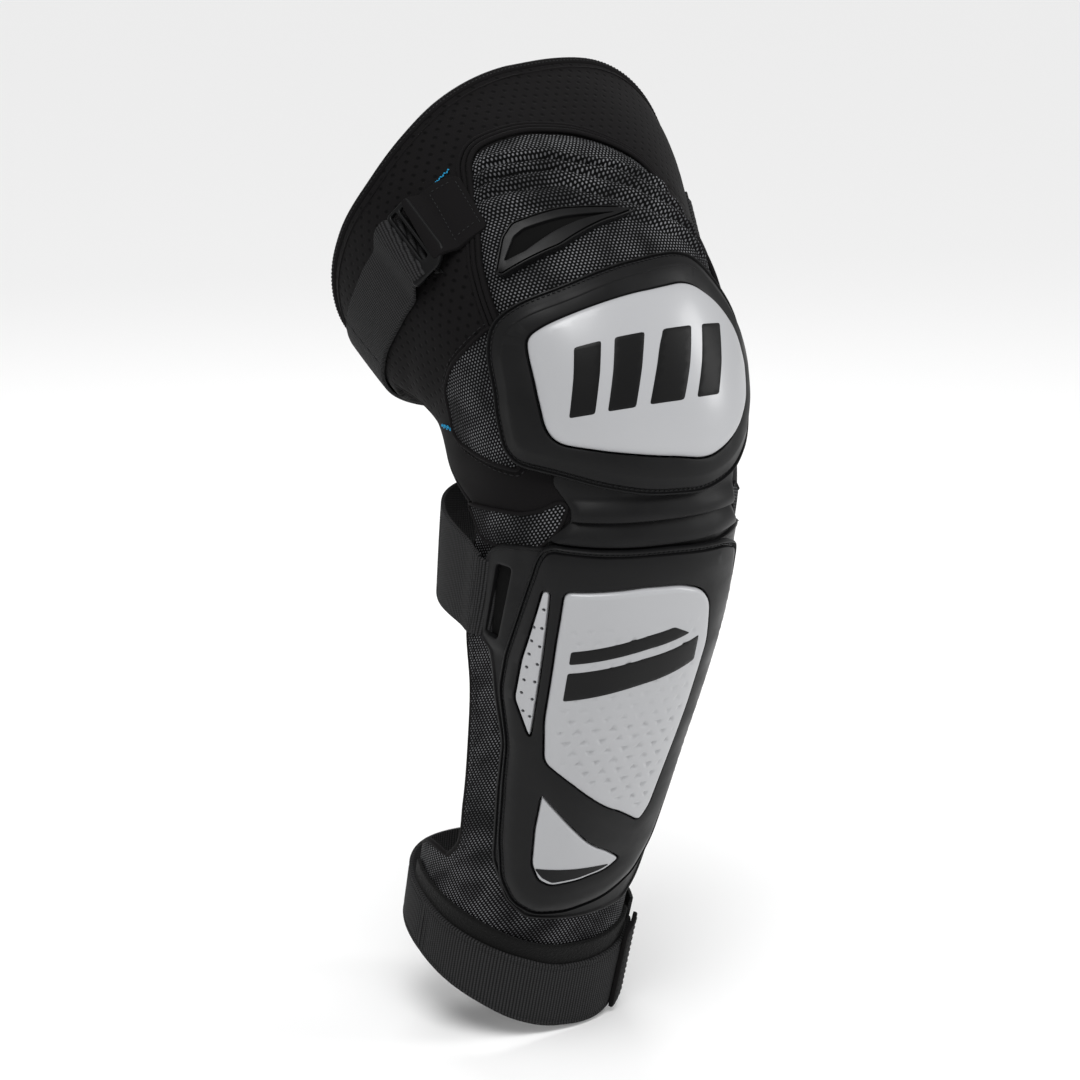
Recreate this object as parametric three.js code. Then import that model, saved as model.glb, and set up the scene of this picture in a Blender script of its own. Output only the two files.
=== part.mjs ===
// Articulated knee and shin guard for one leg, in millimetres.
// Row frame: origin at the middle of the knee, where its hinge axis (X) crosses the leg's centre line.
// +Z is up, the guard faces -Y, and its buckle side is -X. The knee is bent as the guard rests unworn.
//
// Every piece follows one leg surface. A point on it has three coordinates: s, the distance in mm along
// the leg's centre line from the knee (up the thigh positive), phi, the angle in degrees round the leg
// from the front (the buckle side negative), and h, the height in mm above the fabric's outer face.
import * as THREE from "three";
import { mergeVertices } from "three/addons/utils/BufferGeometryUtils.js";
import { TessellateModifier } from "three/addons/modifiers/TessellateModifier.js";

// ---- driving dimensions -------------------------------------------------------------------------
const THIGH_LEAN = 58; // degrees that the thigh leans back from vertical
const SHIN_LEAN = 18; // degrees that the shin's foot end leans back
const BEND_HALF = 64; // half the length of centre line that the knee's bend takes
const SECTION_POWER = 2.3; // superellipse power of the leg's cross-section
const FACET = 22; // longest triangle edge
const MM_PER_DEGREE = 1.25; // nominal arc of one degree round the leg, used to draw outlines

// Leg sections: [s, half width, front depth, back depth]
const SECTIONS = [
  [-370, 56, 55, 60],
  [-300, 57, 56, 62],
  [-230, 60, 63, 66],
  [-150, 65, 70, 74],
  [-90, 70, 73, 80],
  [-45, 73, 70, 84],
  [0, 77, 69, 86],
  [50, 87, 74, 92],
  [110, 95, 81, 94],
  [170, 97, 84, 94],
];
// Sideways shift of the centre line: [s, x]
const SHIFT = [
  [0, 0],
  [60, -6],
  [200, -8],
];
const CUFF_FLARE = 20; // mm that the +X side opens out from FLARE_START up to the cuff's rim
const FLARE_START = 40;
const FLARE_END = 170;

// Layers: [inner h, outer h]. Stacked layers keep 0.7 mm apart, more than the facets' sagitta.
const LINER = [-3, 0];
const BINDING = [-3.4, -0.2];
const PAD = [-11, -3.7];
const BASE = [0.7, 3];
const SHELL_FRAME = [3.7, 8];
const SHELL = [3.7, 9.5];
const KNEE_PAD = [-9, 3];
const KNEE_FRAME = [3.7, 8.5];
const KNEE_SHELL = [3.7, 9.5];
const KNEE_DOME = 4; // extra height at the middle of the knee shell
const WEBBING = [1.2, 3.1];
const OVER_WEBBING = [3.8, 5.7];
const SEAM = 0.4; // half the gap between pieces set edge to edge
const HINGE_GAP = 1.4; // degrees left clear behind a strap end's hinge line, so that it can swing open

// ---- materials ----------------------------------------------------------------------------------
const finish = (color, roughness, metalness = 0) =>
  new THREE.MeshStandardMaterial({ color, roughness, metalness });
const WHITE_PLASTIC = finish(0xe4e4ea, 0.22);
const BLACK_PLASTIC = finish(0x0b0b0c, 0.45);
const BLACK_RUBBER = finish(0x101011, 0.6);
const NEOPRENE = finish(0x0d0c0d, 0.85);
const MESH_FABRIC = finish(0x1b1c1e, 0.8);
const ELASTIC = finish(0x0e0e0f, 0.9);
const FOAM = finish(0x1a1a1c, 0.95);

// ---- the leg surface ----------------------------------------------------------------------------
const radians = THREE.MathUtils.degToRad;
const BEND_RATE = radians(THIGH_LEAN + SHIN_LEAN) / (2 * BEND_HALF);

// Slope of a table column at row i, by second-order differences.
function slope(table, column, i) {
  const at = (k) => table[Math.min(Math.max(k, 0), table.length - 1)];
  const before = at(i)[0] - at(i - 1)[0];
  const after = at(i + 1)[0] - at(i)[0];
  const rise = (k) => (at(k + 1)[column] - at(k)[column]) / (at(k + 1)[0] - at(k)[0]);
  if (!before) return rise(i);
  if (!after) return rise(i - 1);
  return (rise(i) * before + rise(i - 1) * after) / (before + after);
}

// Smooth value of a section column at s (cubic Hermite).
function sectionValue(column, s) {
  let i = SECTIONS.findIndex((row) => row[0] >= s) - 1;
  if (i === -2) i = SECTIONS.length - 2;
  i = Math.max(i, 0);
  const [from, to] = [SECTIONS[i], SECTIONS[i + 1]];
  const step = to[0] - from[0];
  const u = (s - from[0]) / step;
  const bend = (2 * u - 3) * u * u;
  return (
    (bend + 1) * from[column] -
    bend * to[column] +
    (u - 1) ** 2 * u * step * slope(SECTIONS, column, i) +
    (u - 1) * u * u * step * slope(SECTIONS, column, i + 1)
  );
}

// Straight-line value of [x, y] pairs at x, held at both ends.
function along(pairs, x) {
  const i = pairs.findIndex((pair) => pair[0] >= x);
  if (i === 0) return pairs[0][1];
  if (i < 0) return pairs[pairs.length - 1][1];
  const [[x0, y0], [x1, y1]] = [pairs[i - 1], pairs[i]];
  return y0 + ((y1 - y0) * (x - x0)) / (x1 - x0);
}

// Lean of the centre line at s, in radians from vertical towards +Y.
const lean = (s) =>
  BEND_RATE * (THREE.MathUtils.clamp(s, -BEND_HALF, BEND_HALF) + BEND_HALF) - radians(SHIN_LEAN);

// Point on the leg surface.
function legPoint(s, phi, h) {
  const bent = THREE.MathUtils.clamp(s, -BEND_HALF, BEND_HALF);
  const straight = s - bent;
  const tilt = lean(s);
  const y = (Math.cos(lean(0)) - Math.cos(tilt)) / BEND_RATE + straight * Math.sin(tilt);
  const z = (Math.sin(tilt) - Math.sin(lean(0))) / BEND_RATE + straight * Math.cos(tilt);
  const round = (v) => Math.sign(v) * Math.abs(v) ** (2 / SECTION_POWER);
  const side = Math.sin(radians(phi));
  const front = Math.cos(radians(phi));
  const depth = sectionValue(front > 0 ? 2 : 3, s);
  const out = (depth + h) * round(front);
  const flare = CUFF_FLARE * THREE.MathUtils.smoothstep(s, FLARE_START, FLARE_END);
  return new THREE.Vector3(
    along(SHIFT, s) + (sectionValue(1, s) + h) * round(side) + flare * Math.max(round(side), 0),
    y - out * Math.cos(tilt),
    z + out * Math.sin(tilt),
  );
}

// ---- making pieces ------------------------------------------------------------------------------
const guard = new THREE.Group();

function addMesh(name, geometry, material) {
  geometry.deleteAttribute("normal");
  geometry.deleteAttribute("uv");
  const closed = mergeVertices(geometry, 1e-3);
  closed.computeVertexNormals();
  const mesh = new THREE.Mesh(closed, material);
  mesh.name = name;
  guard.add(mesh);
  return mesh;
}

// A flat shape from [phi, s] points, always counter-clockwise.
function toShape(points) {
  const flat = points.map(([phi, s]) => new THREE.Vector2(phi * MM_PER_DEGREE, s));
  return new THREE.Shape(THREE.ShapeUtils.isClockWise(flat) ? flat.reverse() : flat);
}

// A plate of even thickness bent onto the leg: outline and holes are [phi, s] points,
// and dome(phi, s) adds to its outer height.
function addPlate(name, material, [inner, outer], outline, { holes = [], dome = () => 0 } = {}) {
  const shape = toShape(outline);
  shape.holes = holes.map(toShape);
  const flat = new THREE.ExtrudeGeometry(shape, { depth: 1, bevelEnabled: false });
  flat.deleteAttribute("normal");
  flat.deleteAttribute("uv");
  const plate = new TessellateModifier(FACET, 24).modify(flat);
  const spots = plate.attributes.position;
  for (let i = 0; i < spots.count; i += 1) {
    const phi = spots.getX(i) / MM_PER_DEGREE;
    const s = spots.getY(i);
    const h = spots.getZ(i) > 0.5 ? outer + dome(phi, s) : inner;
    const point = legPoint(s, phi, h);
    spots.setXYZ(i, point.x, point.y, point.z);
  }
  return addMesh(name, plate, material);
}

// Outline of a band round the leg between two edges, each a list of [phi, s] points.
const band = (lower, upper) => [...lower, ...[...upper].reverse()];
// The same edge moved by ds along the leg.
const moved = (edge, ds) => edge.map(([phi, s]) => [phi, s + ds]);
// The points of an edge with phi from a to b, with both ends put in exactly.
function stretch(edge, a, b) {
  const inside = edge.filter(([phi]) => phi > a + 0.5 && phi < b - 0.5);
  return [[a, along(edge, a)], ...inside, [b, along(edge, b)]];
}
// The outline shrunk towards its middle line by a margin in mm, for a piece that sits inside it.
function inset(outline, margin) {
  const shape = outline.map(([phi, s]) => new THREE.Vector2(phi * MM_PER_DEGREE, s));
  const turn = Math.sign(THREE.ShapeUtils.area(shape));
  return shape.map((point, i) => {
    const last = shape.at(i - 1);
    const next = shape[(i + 1) % shape.length];
    const before = new THREE.Vector2().subVectors(point, last).normalize();
    const after = new THREE.Vector2().subVectors(next, point).normalize();
    const normal = new THREE.Vector2(-before.y - after.y, before.x + after.x).normalize();
    const reach = (turn * margin) / Math.max(normal.dot(new THREE.Vector2(-before.y, before.x)), 0.4);
    return [(point.x + normal.x * reach) / MM_PER_DEGREE, point.y + normal.y * reach];
  });
}
const mirrored = (outline) => outline.map(([phi, s]) => [-phi, s]).reverse();

// ---- shin ---------------------------------------------------------------------------------------
const SHIN_TOP = [
  [-88, -47],
  [-60, -51],
  [-30, -56],
  [0, -57],
  [30, -56],
  [60, -51],
  [88, -47],
];
const LINER_REAR = [
  [-88, -130],
  [-83, -156],
  [-80, -190],
  [-78, -232],
  [-79, -262],
  [-86, -274],
  [-112, -286],
  [-122, -298],
  [-122, -332],
];
const LINER_HEM = [
  [-122, -332],
  [-60, -334],
  [-20, -348],
  [20, -356],
  [60, -348],
  [122, -332],
];

function addLiner(name, side) {
  const inner = [[-SEAM, along(LINER_HEM, 0)], [-SEAM, along(SHIN_TOP, 0)]];
  const top = stretch(SHIN_TOP, -88, -SEAM).reverse();
  const hem = LINER_HEM.filter(([phi]) => phi > -122 && phi < 0);
  const outline = [...inner.slice(0, 1), ...inner.slice(1), ...top.slice(1), ...LINER_REAR, ...hem];
  addPlate(name, MESH_FABRIC, LINER, side < 0 ? outline : mirrored(outline));
}

function addLinerBinding(name, side) {
  const edge = [[-88, -50], ...LINER_REAR.slice(0, 5)];
  const inner = edge.map(([phi, s]) => [phi - 0.5, s]);
  const outer = edge.map(([phi, s]) => [phi - 3.5, s]).reverse();
  const outline = [...inner, ...outer];
  addPlate(name, NEOPRENE, BINDING, side < 0 ? outline : mirrored(outline));
}

const MAIN_POCKET = [
  [-37, -69],
  [-6, -64],
  [6, -65],
  [16, -70],
  [22, -79],
  [27, -106],
  [26, -145],
  [22, -180],
  [19, -212],
  [14, -222],
  [-6, -203],
  [-21, -188],
  [-35, -176],
  [-38, -150],
  [-38, -100],
];
const SIDE_POCKET = [
  [-46, -71],
  [-42, -71],
  [-42, -162],
  [-44, -162],
  [-53, -141],
  [-52, -116],
];
const LOWER_POCKET = [
  [-33, -197],
  [-22, -210],
  [-6, -230],
  [10, -246],
  [4, -253],
  [-6, -258],
  [-19, -261],
  [-26, -257],
  [-31, -246],
  [-33, -222],
];
const LABEL_LINE = -249; // the lower insert ends here and its dark strip begins

const FRAME_OUTER = [
  [-46, -53],
  [0, -53],
  [30, -55],
  [43, -59],
  [47, -80],
  [50, -118],
  [50, -142],
  [45, -172],
  [43, -205],
  [37, -243],
  [26, -264],
  [10, -276],
  [-6, -283],
  [-24, -284],
  [-37, -277],
  [-46, -262],
  [-51, -236],
  [-54, -196],
  [-55, -173],
  [-62, -141],
  [-61, -118],
  [-55, -80],
  [-51, -58],
];
const FLANGE_SIDE = [
  [-48, -55],
  [-70, -62],
  [-77, -80],
  [-79, -118],
  [-70, -123],
  [-65, -150],
  [-58, -175],
  [-57, -206],
  [-53, -252],
  [-41, -277],
  [-28, -288],
];
const SLOT = [
  [-62, -68],
  [-66, -114],
  [-73, -114],
  [-70, -70],
];

addLiner("shin_liner_outer", -1);
addLiner("shin_liner_inner", 1);
addLinerBinding("shin_binding_outer", -1);
addLinerBinding("shin_binding_inner", 1);

addPlate("shin_foam", FOAM, PAD, [
  [-44, -62],
  [44, -62],
  [46, -180],
  [36, -240],
  [14, -268],
  [-14, -268],
  [-36, -240],
  [-46, -180],
]);

addPlate(
  "shin_carrier",
  BLACK_RUBBER,
  BASE,
  [...FLANGE_SIDE, [0, -290], ...mirrored(FLANGE_SIDE), [0, -55]],
  { holes: [SLOT, mirrored(SLOT)] },
);

addPlate("shin_frame", BLACK_PLASTIC, SHELL_FRAME, FRAME_OUTER, {
  holes: [MAIN_POCKET, SIDE_POCKET, LOWER_POCKET],
});
addPlate("shin_shell", WHITE_PLASTIC, SHELL, inset(MAIN_POCKET, 2 * SEAM));
addPlate("shin_side_insert", WHITE_PLASTIC, [3.7, 8.6], inset(SIDE_POCKET, 2 * SEAM));

const lowerInsert = inset(LOWER_POCKET, 2 * SEAM);
const labelEnds = [8, -30]; // phi where the insert's outline crosses the label line
const aboveLabel = lowerInsert.filter(([, s]) => s > LABEL_LINE);
const belowLabel = lowerInsert.filter(([, s]) => s < LABEL_LINE);
addPlate("shin_lower_insert", WHITE_PLASTIC, [3.7, 8.6], [
  ...aboveLabel.slice(0, 4),
  [labelEnds[0] - 1, LABEL_LINE + SEAM],
  [labelEnds[1] + 1, LABEL_LINE + SEAM],
  ...aboveLabel.slice(4),
]);
addPlate("lower_insert_strip", BLACK_PLASTIC, [3.7, 8.4], [
  [labelEnds[0] - 3, LABEL_LINE - SEAM],
  ...belowLabel,
  [labelEnds[1] + 2, LABEL_LINE - SEAM],
]);

// Straps round the shin. Edges are [phi, s]; phi runs on past -180 round the back.
const MID_LOWER = [
  [-292, -119],
  [-250, -128],
  [-180, -133],
  [-112, -131],
  [-80, -121],
];
const MID_UPPER = [
  [-292, -73],
  [-250, -76],
  [-180, -83],
  [-112, -75],
  [-80, -73],
];
const MID_HINGE_PHI = -108;
const ring = (name, material, layer, lower, upper, from, to) =>
  addPlate(name, material, layer, band(stretch(lower, from, to), stretch(upper, from, to)));

ring("mid_strap", ELASTIC, WEBBING, MID_LOWER, MID_UPPER, -276, MID_HINGE_PHI - HINGE_GAP);
ring("mid_strap_end", ELASTIC, WEBBING, MID_LOWER, MID_UPPER, MID_HINGE_PHI, -81);
ring("mid_strap_anchor", ELASTIC, OVER_WEBBING, MID_LOWER, MID_UPPER, -284, -262);
addPlate("mid_strap_loop", ELASTIC, OVER_WEBBING, [
  [-80, -117],
  [-70, -112],
  [-68, -73],
  [-78, -73],
]);

const ANKLE_UPPER = [
  [-312, -309],
  [-180, -314],
  [-120, -309],
  [-81, -309],
  [-50, -311],
  [-25, -316],
  [0, -323],
  [20, -323],
  [60, -318],
];
const ANKLE_LOWER = [
  [-312, -349],
  [-180, -350],
  [-120, -344],
  [-74, -345],
  [-44, -351],
  [-22, -359],
  [0, -366],
  [20, -369],
  [60, -364],
];
const ANKLE_HINGE_PHI = -84;
ring("ankle_loop_band", NEOPRENE, WEBBING, [[-116, -330], [0, -346], [56, -344]],
  [[-116, -301], [-60, -299], [0, -311], [56, -310]], -114, 56);
ring("ankle_strap_front", ELASTIC, OVER_WEBBING, ANKLE_LOWER, ANKLE_UPPER, ANKLE_HINGE_PHI, 58);
ring("ankle_strap", ELASTIC, OVER_WEBBING, ANKLE_LOWER, ANKLE_UPPER, -296, ANKLE_HINGE_PHI - HINGE_GAP);
addPlate("ankle_tab", NEOPRENE, [6.4, 8.8], [
  [34, -371],
  [57, -366],
  [59, -309],
  [36, -313],
]);

// ---- gaiter ribs between the knee cup and the shin ------------------------------------------------
const RIB = [-1, 4];
const rib = (name, low, high) =>
  addPlate(name, BLACK_RUBBER, RIB, [
    [-44, low + 2],
    [-20, low],
    [14, low],
    [36, low + 2],
    [36, high + 2],
    [14, high],
    [-20, high],
    [-44, high + 2],
  ]);
rib("gaiter_lower_rib", -52.2, -50.2);
rib("gaiter_upper_rib", -41.6, -39.8);

// ---- knee cup -----------------------------------------------------------------------------------
const KNEE_OUTER = [
  [-52, 25],
  [-42, 27],
  [-24, 28],
  [-8, 31],
  [5, 34],
  [18, 36],
  [27, 35],
  [38, 27],
  [52, 18],
  [59, 6],
  [58, -12],
  [48, -25],
  [34, -33],
  [24, -36],
  [12, -38],
  [-6, -37],
  [-24, -34],
  [-42, -30],
  [-60, -27],
  [-66, -21],
  [-67, -8],
  [-63, 13],
  [-58, 21],
];
const KNEE_POCKET = [
  [-43, 15],
  [-36, 17],
  [-21, 19],
  [-8, 21],
  [4, 23],
  [16, 25],
  [28, 19],
  [39, 10],
  [43, 0],
  [41, -11],
  [32, -20],
  [23, -25],
  [13, -28],
  [0, -26],
  [-22, -23],
  [-40, -20],
  [-45, -15],
  [-46, -2],
  [-45, 10],
];
const kneeDome = (phi, s) =>
  KNEE_DOME * Math.max(1 - ((phi + 1) / 46) ** 2, 0) * Math.max(1 - (s / 30) ** 2, 0);

addPlate("knee_foam", FOAM, KNEE_PAD, [
  [-54, 20],
  [-24, 24],
  [14, 28],
  [50, 16],
  [52, -12],
  [34, -28],
  [10, -33],
  [-24, -30],
  [-56, -22],
]);
addPlate("knee_frame", BLACK_RUBBER, KNEE_FRAME, KNEE_OUTER, { holes: [KNEE_POCKET] });
addPlate("knee_shell", WHITE_PLASTIC, KNEE_SHELL, inset(KNEE_POCKET, 2 * SEAM), { dome: kneeDome });

const KNEE_SIDE = [
  [-58, -19],
  [-58, 17],
  [-74, 30],
  [-90, 35],
  [-104, 30],
  [-114, 20],
  [-114, -18],
  [-104, -29],
  [-90, -35],
  [-74, -31],
];
addPlate("knee_side_outer", NEOPRENE, LINER, KNEE_SIDE);
addPlate("knee_side_inner", NEOPRENE, LINER, mirrored(KNEE_SIDE));
const MESH_WINDOW = [
  [-68.5, -18],
  [-68.5, 20],
  [-80, 19],
  [-92, 11],
  [-96, 0],
  [-92, -13],
  [-80, -21],
];
addPlate("knee_mesh_outer", MESH_FABRIC, [1.2, 2.4], MESH_WINDOW);
addPlate("knee_mesh_inner", MESH_FABRIC, [1.2, 2.4], mirrored(MESH_WINDOW));

// Padded brow above the cup, with the moulded vent set in it.
const BROW_POCKET = [
  [-43, 39],
  [-36, 48],
  [-29, 51],
  [-12, 50.5],
  [5, 48.5],
  [-4, 45.5],
  [-20, 40.5],
  [-41, 37],
];
addPlate(
  "brow_pad",
  MESH_FABRIC,
  [-3, 3.5],
  [
    [-52, 28],
    [-47, 45],
    [-40, 53],
    [30, 53],
    [38, 40],
    [33, 33.5],
    [27, 37.5],
    [18, 38.5],
    [4, 36.5],
    [-8, 33.5],
    [-24, 30.5],
    [-42, 29.5],
  ],
  { holes: [BROW_POCKET] },
);
const BROW_RECESS = [
  [-35, 41],
  [-31, 46.5],
  [-14, 47.5],
  [-8, 46.5],
  [-20, 43],
];
addPlate("brow_vent", BLACK_PLASTIC, [-2.5, 7], inset(BROW_POCKET, 2 * SEAM), {
  holes: [BROW_RECESS],
});
addPlate("brow_vent_core", BLACK_RUBBER, [-2, 4], inset(BROW_RECESS, SEAM * 1.5));

// ---- thigh --------------------------------------------------------------------------------------
const RIM = [
  [-180, 126],
  [-150, 121],
  [-120, 119],
  [-98, 121],
  [-63, 119],
  [-45, 126],
  [-27, 137],
  [-7, 149],
  [13, 160],
  [30, 166],
  [45, 165],
  [63, 156],
  [90, 141],
  [120, 131],
  [150, 127],
  [180, 126],
];
const CUFF_LOWER = [
  [-180, 80],
  [-150, 76],
  [-120, 56],
  [-90, 48],
  [-60, 54],
  [-30, 78],
  [0, 82],
  [30, 78],
  [60, 54],
  [90, 48],
  [120, 56],
  [150, 76],
  [180, 80],
];
const CUFF_SEAM = 180 - SEAM; // the cuff closes on a seam at the back
ring("thigh_cuff_outer", NEOPRENE, LINER, CUFF_LOWER, RIM, -CUFF_SEAM, -SEAM);
ring("thigh_cuff_inner", NEOPRENE, LINER, CUFF_LOWER, RIM, SEAM, CUFF_SEAM);
ring("rim_binding_outer", NEOPRENE, [-3.6, 0.6], moved(RIM, 0.6), moved(RIM, 4), -CUFF_SEAM, -SEAM);
ring("rim_binding_inner", NEOPRENE, [-3.6, 0.6], moved(RIM, 0.6), moved(RIM, 4), SEAM, CUFF_SEAM);

const THIGH_PANEL = [
  [-33, 81],
  [-26, 99],
  [-16, 101],
  [-6, 101],
  [4, 98],
  [13, 92],
  [19, 83],
  [-6, 84],
];
addPlate("thigh_mesh_panel", MESH_FABRIC, [0.7, 6], THIGH_PANEL);
addPlate("thigh_foam", FOAM, PAD, [
  [-34, 84],
  [-26, 118],
  [30, 124],
  [34, 84],
]);

const STRAP_LOWER = [
  [-290, 66],
  [-250, 72],
  [-180, 84],
  [-150, 80],
  [-120, 68],
  [-92, 54],
  [-60, 51],
];
const STRAP_UPPER = [
  [-290, 104],
  [-250, 110],
  [-180, 122],
  [-150, 118],
  [-120, 106],
  [-92, 94],
  [-60, 87],
];
const STRAP_HINGE_PHI = -106;
ring("upper_strap", ELASTIC, WEBBING, STRAP_LOWER, STRAP_UPPER, -284, STRAP_HINGE_PHI - HINGE_GAP);
ring("upper_strap_end", ELASTIC, WEBBING, STRAP_LOWER, STRAP_UPPER, STRAP_HINGE_PHI, -66);
ring("upper_strap_anchor", ELASTIC, OVER_WEBBING, STRAP_LOWER, STRAP_UPPER, -290, -270);
addPlate("hook_tab", ELASTIC, WEBBING, [
  [-54, 55],
  [-36, 55],
  [-36, 86],
  [-52, 90],
]);

// Flat metal-free buckle hook, lying square to the leg at the end of the upper strap.
const HOOK = { phi: -61, s: 70, length: 46, width: 18, thick: 3, lift: 5.6 };
const HOOK_SLOT = { strap: 38, tab: 34, width: 3.2, offset: 5 };
function addHook() {
  const outline = new THREE.Shape();
  const [half, wide] = [HOOK.length / 2, HOOK.width / 2];
  outline.moveTo(-wide, -half);
  outline.lineTo(wide, -half);
  outline.lineTo(wide, half);
  outline.lineTo(-wide, half);
  for (const [side, length] of [[-1, HOOK_SLOT.strap], [1, HOOK_SLOT.tab]]) {
    const slot = new THREE.Path();
    const [x, y] = [side * HOOK_SLOT.offset, length / 2];
    slot.moveTo(x - HOOK_SLOT.width / 2, -y);
    slot.lineTo(x + HOOK_SLOT.width / 2, -y);
    slot.lineTo(x + HOOK_SLOT.width / 2, y);
    slot.lineTo(x - HOOK_SLOT.width / 2, y);
    outline.holes.push(slot);
  }
  const geometry = new THREE.ExtrudeGeometry(outline, { depth: HOOK.thick, bevelEnabled: false });
  const mesh = addMesh("upper_strap_hook", geometry, BLACK_PLASTIC);
  const middle = legPoint(HOOK.s, HOOK.phi, HOOK.lift);
  const along_ = legPoint(HOOK.s + 5, HOOK.phi, HOOK.lift).sub(middle).normalize();
  const across = legPoint(HOOK.s, HOOK.phi + 3, HOOK.lift).sub(middle).normalize();
  const out = new THREE.Vector3().crossVectors(across, along_).normalize();
  across.crossVectors(along_, out);
  mesh.quaternion.setFromRotationMatrix(new THREE.Matrix4().makeBasis(across, along_, out));
  mesh.position.copy(middle);
}
addHook();

export default guard;
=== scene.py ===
"""Articulated knee and shin guard: the looks, on the frame that the CAD model sets.

Every piece follows the frame's leg surface. A place on it is (phi, s) and a height h: s is the distance
in mm along the leg's centre line from the knee, up the thigh positive; phi is the angle in degrees
round the leg from the front, the buckle side negative; h is mm above the fabric's outer face.
"""
import math

import bpy
import numpy as np
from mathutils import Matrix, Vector
from mathutils.geometry import delaunay_2d_cdt
from mathutils.kdtree import KDTree


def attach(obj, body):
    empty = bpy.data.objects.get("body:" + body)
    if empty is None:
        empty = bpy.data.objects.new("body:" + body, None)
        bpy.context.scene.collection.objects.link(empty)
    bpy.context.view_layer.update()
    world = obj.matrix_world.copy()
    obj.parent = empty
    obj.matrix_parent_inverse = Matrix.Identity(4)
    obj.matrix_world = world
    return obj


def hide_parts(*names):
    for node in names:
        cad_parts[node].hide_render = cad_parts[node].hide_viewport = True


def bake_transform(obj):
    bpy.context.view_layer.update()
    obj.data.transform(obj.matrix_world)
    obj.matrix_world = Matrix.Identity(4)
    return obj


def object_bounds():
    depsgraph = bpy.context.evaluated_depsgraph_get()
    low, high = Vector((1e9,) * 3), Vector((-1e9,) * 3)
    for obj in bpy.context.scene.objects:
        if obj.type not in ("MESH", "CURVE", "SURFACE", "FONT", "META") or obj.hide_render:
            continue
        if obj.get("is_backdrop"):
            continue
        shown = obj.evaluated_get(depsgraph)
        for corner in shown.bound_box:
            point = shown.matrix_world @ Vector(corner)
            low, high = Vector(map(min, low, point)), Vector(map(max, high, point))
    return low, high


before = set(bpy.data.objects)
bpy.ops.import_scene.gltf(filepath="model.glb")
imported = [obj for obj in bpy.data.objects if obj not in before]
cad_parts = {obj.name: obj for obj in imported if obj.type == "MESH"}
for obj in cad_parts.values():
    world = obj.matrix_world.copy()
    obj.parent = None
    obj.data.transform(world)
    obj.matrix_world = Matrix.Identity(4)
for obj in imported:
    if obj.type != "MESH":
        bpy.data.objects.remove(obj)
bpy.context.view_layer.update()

MM = 0.001
MM_PER_DEGREE = 1.25  # rounded: mm round the leg to one degree, for outlines laid flat
ROW_HEIGHT = 0.87  # of the pitch, between rows of staggered points

# ---- the leg surface, as in the frame ----
THIGH_LEAN = 58.0
SHIN_LEAN = 18.0
BEND_HALF = 64.0
SECTION_POWER = 2.3
SECTIONS = np.array([  # s, half width, front depth, back depth
    [-370, 56, 55, 60],
    [-300, 57, 56, 62],
    [-230, 60, 63, 66],
    [-150, 65, 70, 74],
    [-90, 70, 73, 80],
    [-45, 73, 70, 84],
    [0, 77, 69, 86],
    [50, 87, 74, 92],
    [110, 95, 81, 94],
    [170, 97, 84, 94],
], float)
SHIFT = ([0, 60, 200], [0, -6, -8])  # s, sideways shift of the centre line
CUFF_FLARE, FLARE_START, FLARE_END = 20, 40, 170  # mm that the +X side opens out between two values of s
BEND_RATE = math.radians(THIGH_LEAN + SHIN_LEAN) / (2 * BEND_HALF)
MIDDLE_LEAN = math.radians((THIGH_LEAN - SHIN_LEAN) / 2)


def section(column, s):
    """Smooth value of a SECTIONS column at s."""
    xs, ys = SECTIONS[:, 0], SECTIONS[:, column]
    slopes = np.gradient(ys, xs)
    i = np.clip(np.searchsorted(xs, s) - 1, 0, len(xs) - 2)
    step = xs[i + 1] - xs[i]
    u = (s - xs[i]) / step
    bend = (2 * u - 3) * u * u
    return ((bend + 1) * ys[i] - bend * ys[i + 1]
            + (u - 1) ** 2 * u * step * slopes[i] + (u - 1) * u * u * step * slopes[i + 1])


def leg(phi, s, h=0.0):
    """Points on the leg surface in mm, one row each."""
    phi, s, h = np.broadcast_arrays(*(np.asarray(v, float) for v in (phi, s, h)))
    bent = np.clip(s, -BEND_HALF, BEND_HALF)
    tilt = BEND_RATE * bent + MIDDLE_LEAN
    y = (math.cos(MIDDLE_LEAN) - np.cos(tilt)) / BEND_RATE + (s - bent) * np.sin(tilt)
    z = (np.sin(tilt) - math.sin(MIDDLE_LEAN)) / BEND_RATE + (s - bent) * np.cos(tilt)
    side, front = np.sin(np.radians(phi)), np.cos(np.radians(phi))
    bow = lambda v: np.sign(v) * np.abs(v) ** (2 / SECTION_POWER)
    out = (np.where(front > 0, section(2, s), section(3, s)) + h) * bow(front)
    t = np.clip((s - FLARE_START) / (FLARE_END - FLARE_START), 0, 1)
    flare = CUFF_FLARE * t * t * (3 - 2 * t)
    x = np.interp(s, *SHIFT) + (section(1, s) + h) * bow(side) + flare * np.maximum(bow(side), 0)
    return np.stack([x, y - out * np.cos(tilt), z + out * np.sin(tilt)], -1)


def unit(v):
    """Each row of v at length 1."""
    return v / np.maximum(np.linalg.norm(v, axis=-1, keepdims=True), 1e-12)


def leg_frame(phi, s, h=0.0, surface=leg):
    """Unit directions round the leg, along it and out of it, and the mm per degree and per mm of s."""
    round_ = surface(phi + 0.5, s, h) - surface(phi - 0.5, s, h)
    up = surface(phi, s + 0.5, h) - surface(phi, s - 0.5, h)
    out = unit(np.cross(round_, up))
    return unit(round_), unit(up), out, np.linalg.norm(round_, axis=-1), np.linalg.norm(up, axis=-1)


# Running lengths over the surface, so that a weave keeps its size where the knee stretches it.
PHI_STEP, S_STEP = 2.0, 4.0
TABLE_PHI = np.arange(-330.0, 231.0, PHI_STEP)
TABLE_S = np.arange(-400.0, 201.0, S_STEP)


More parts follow.
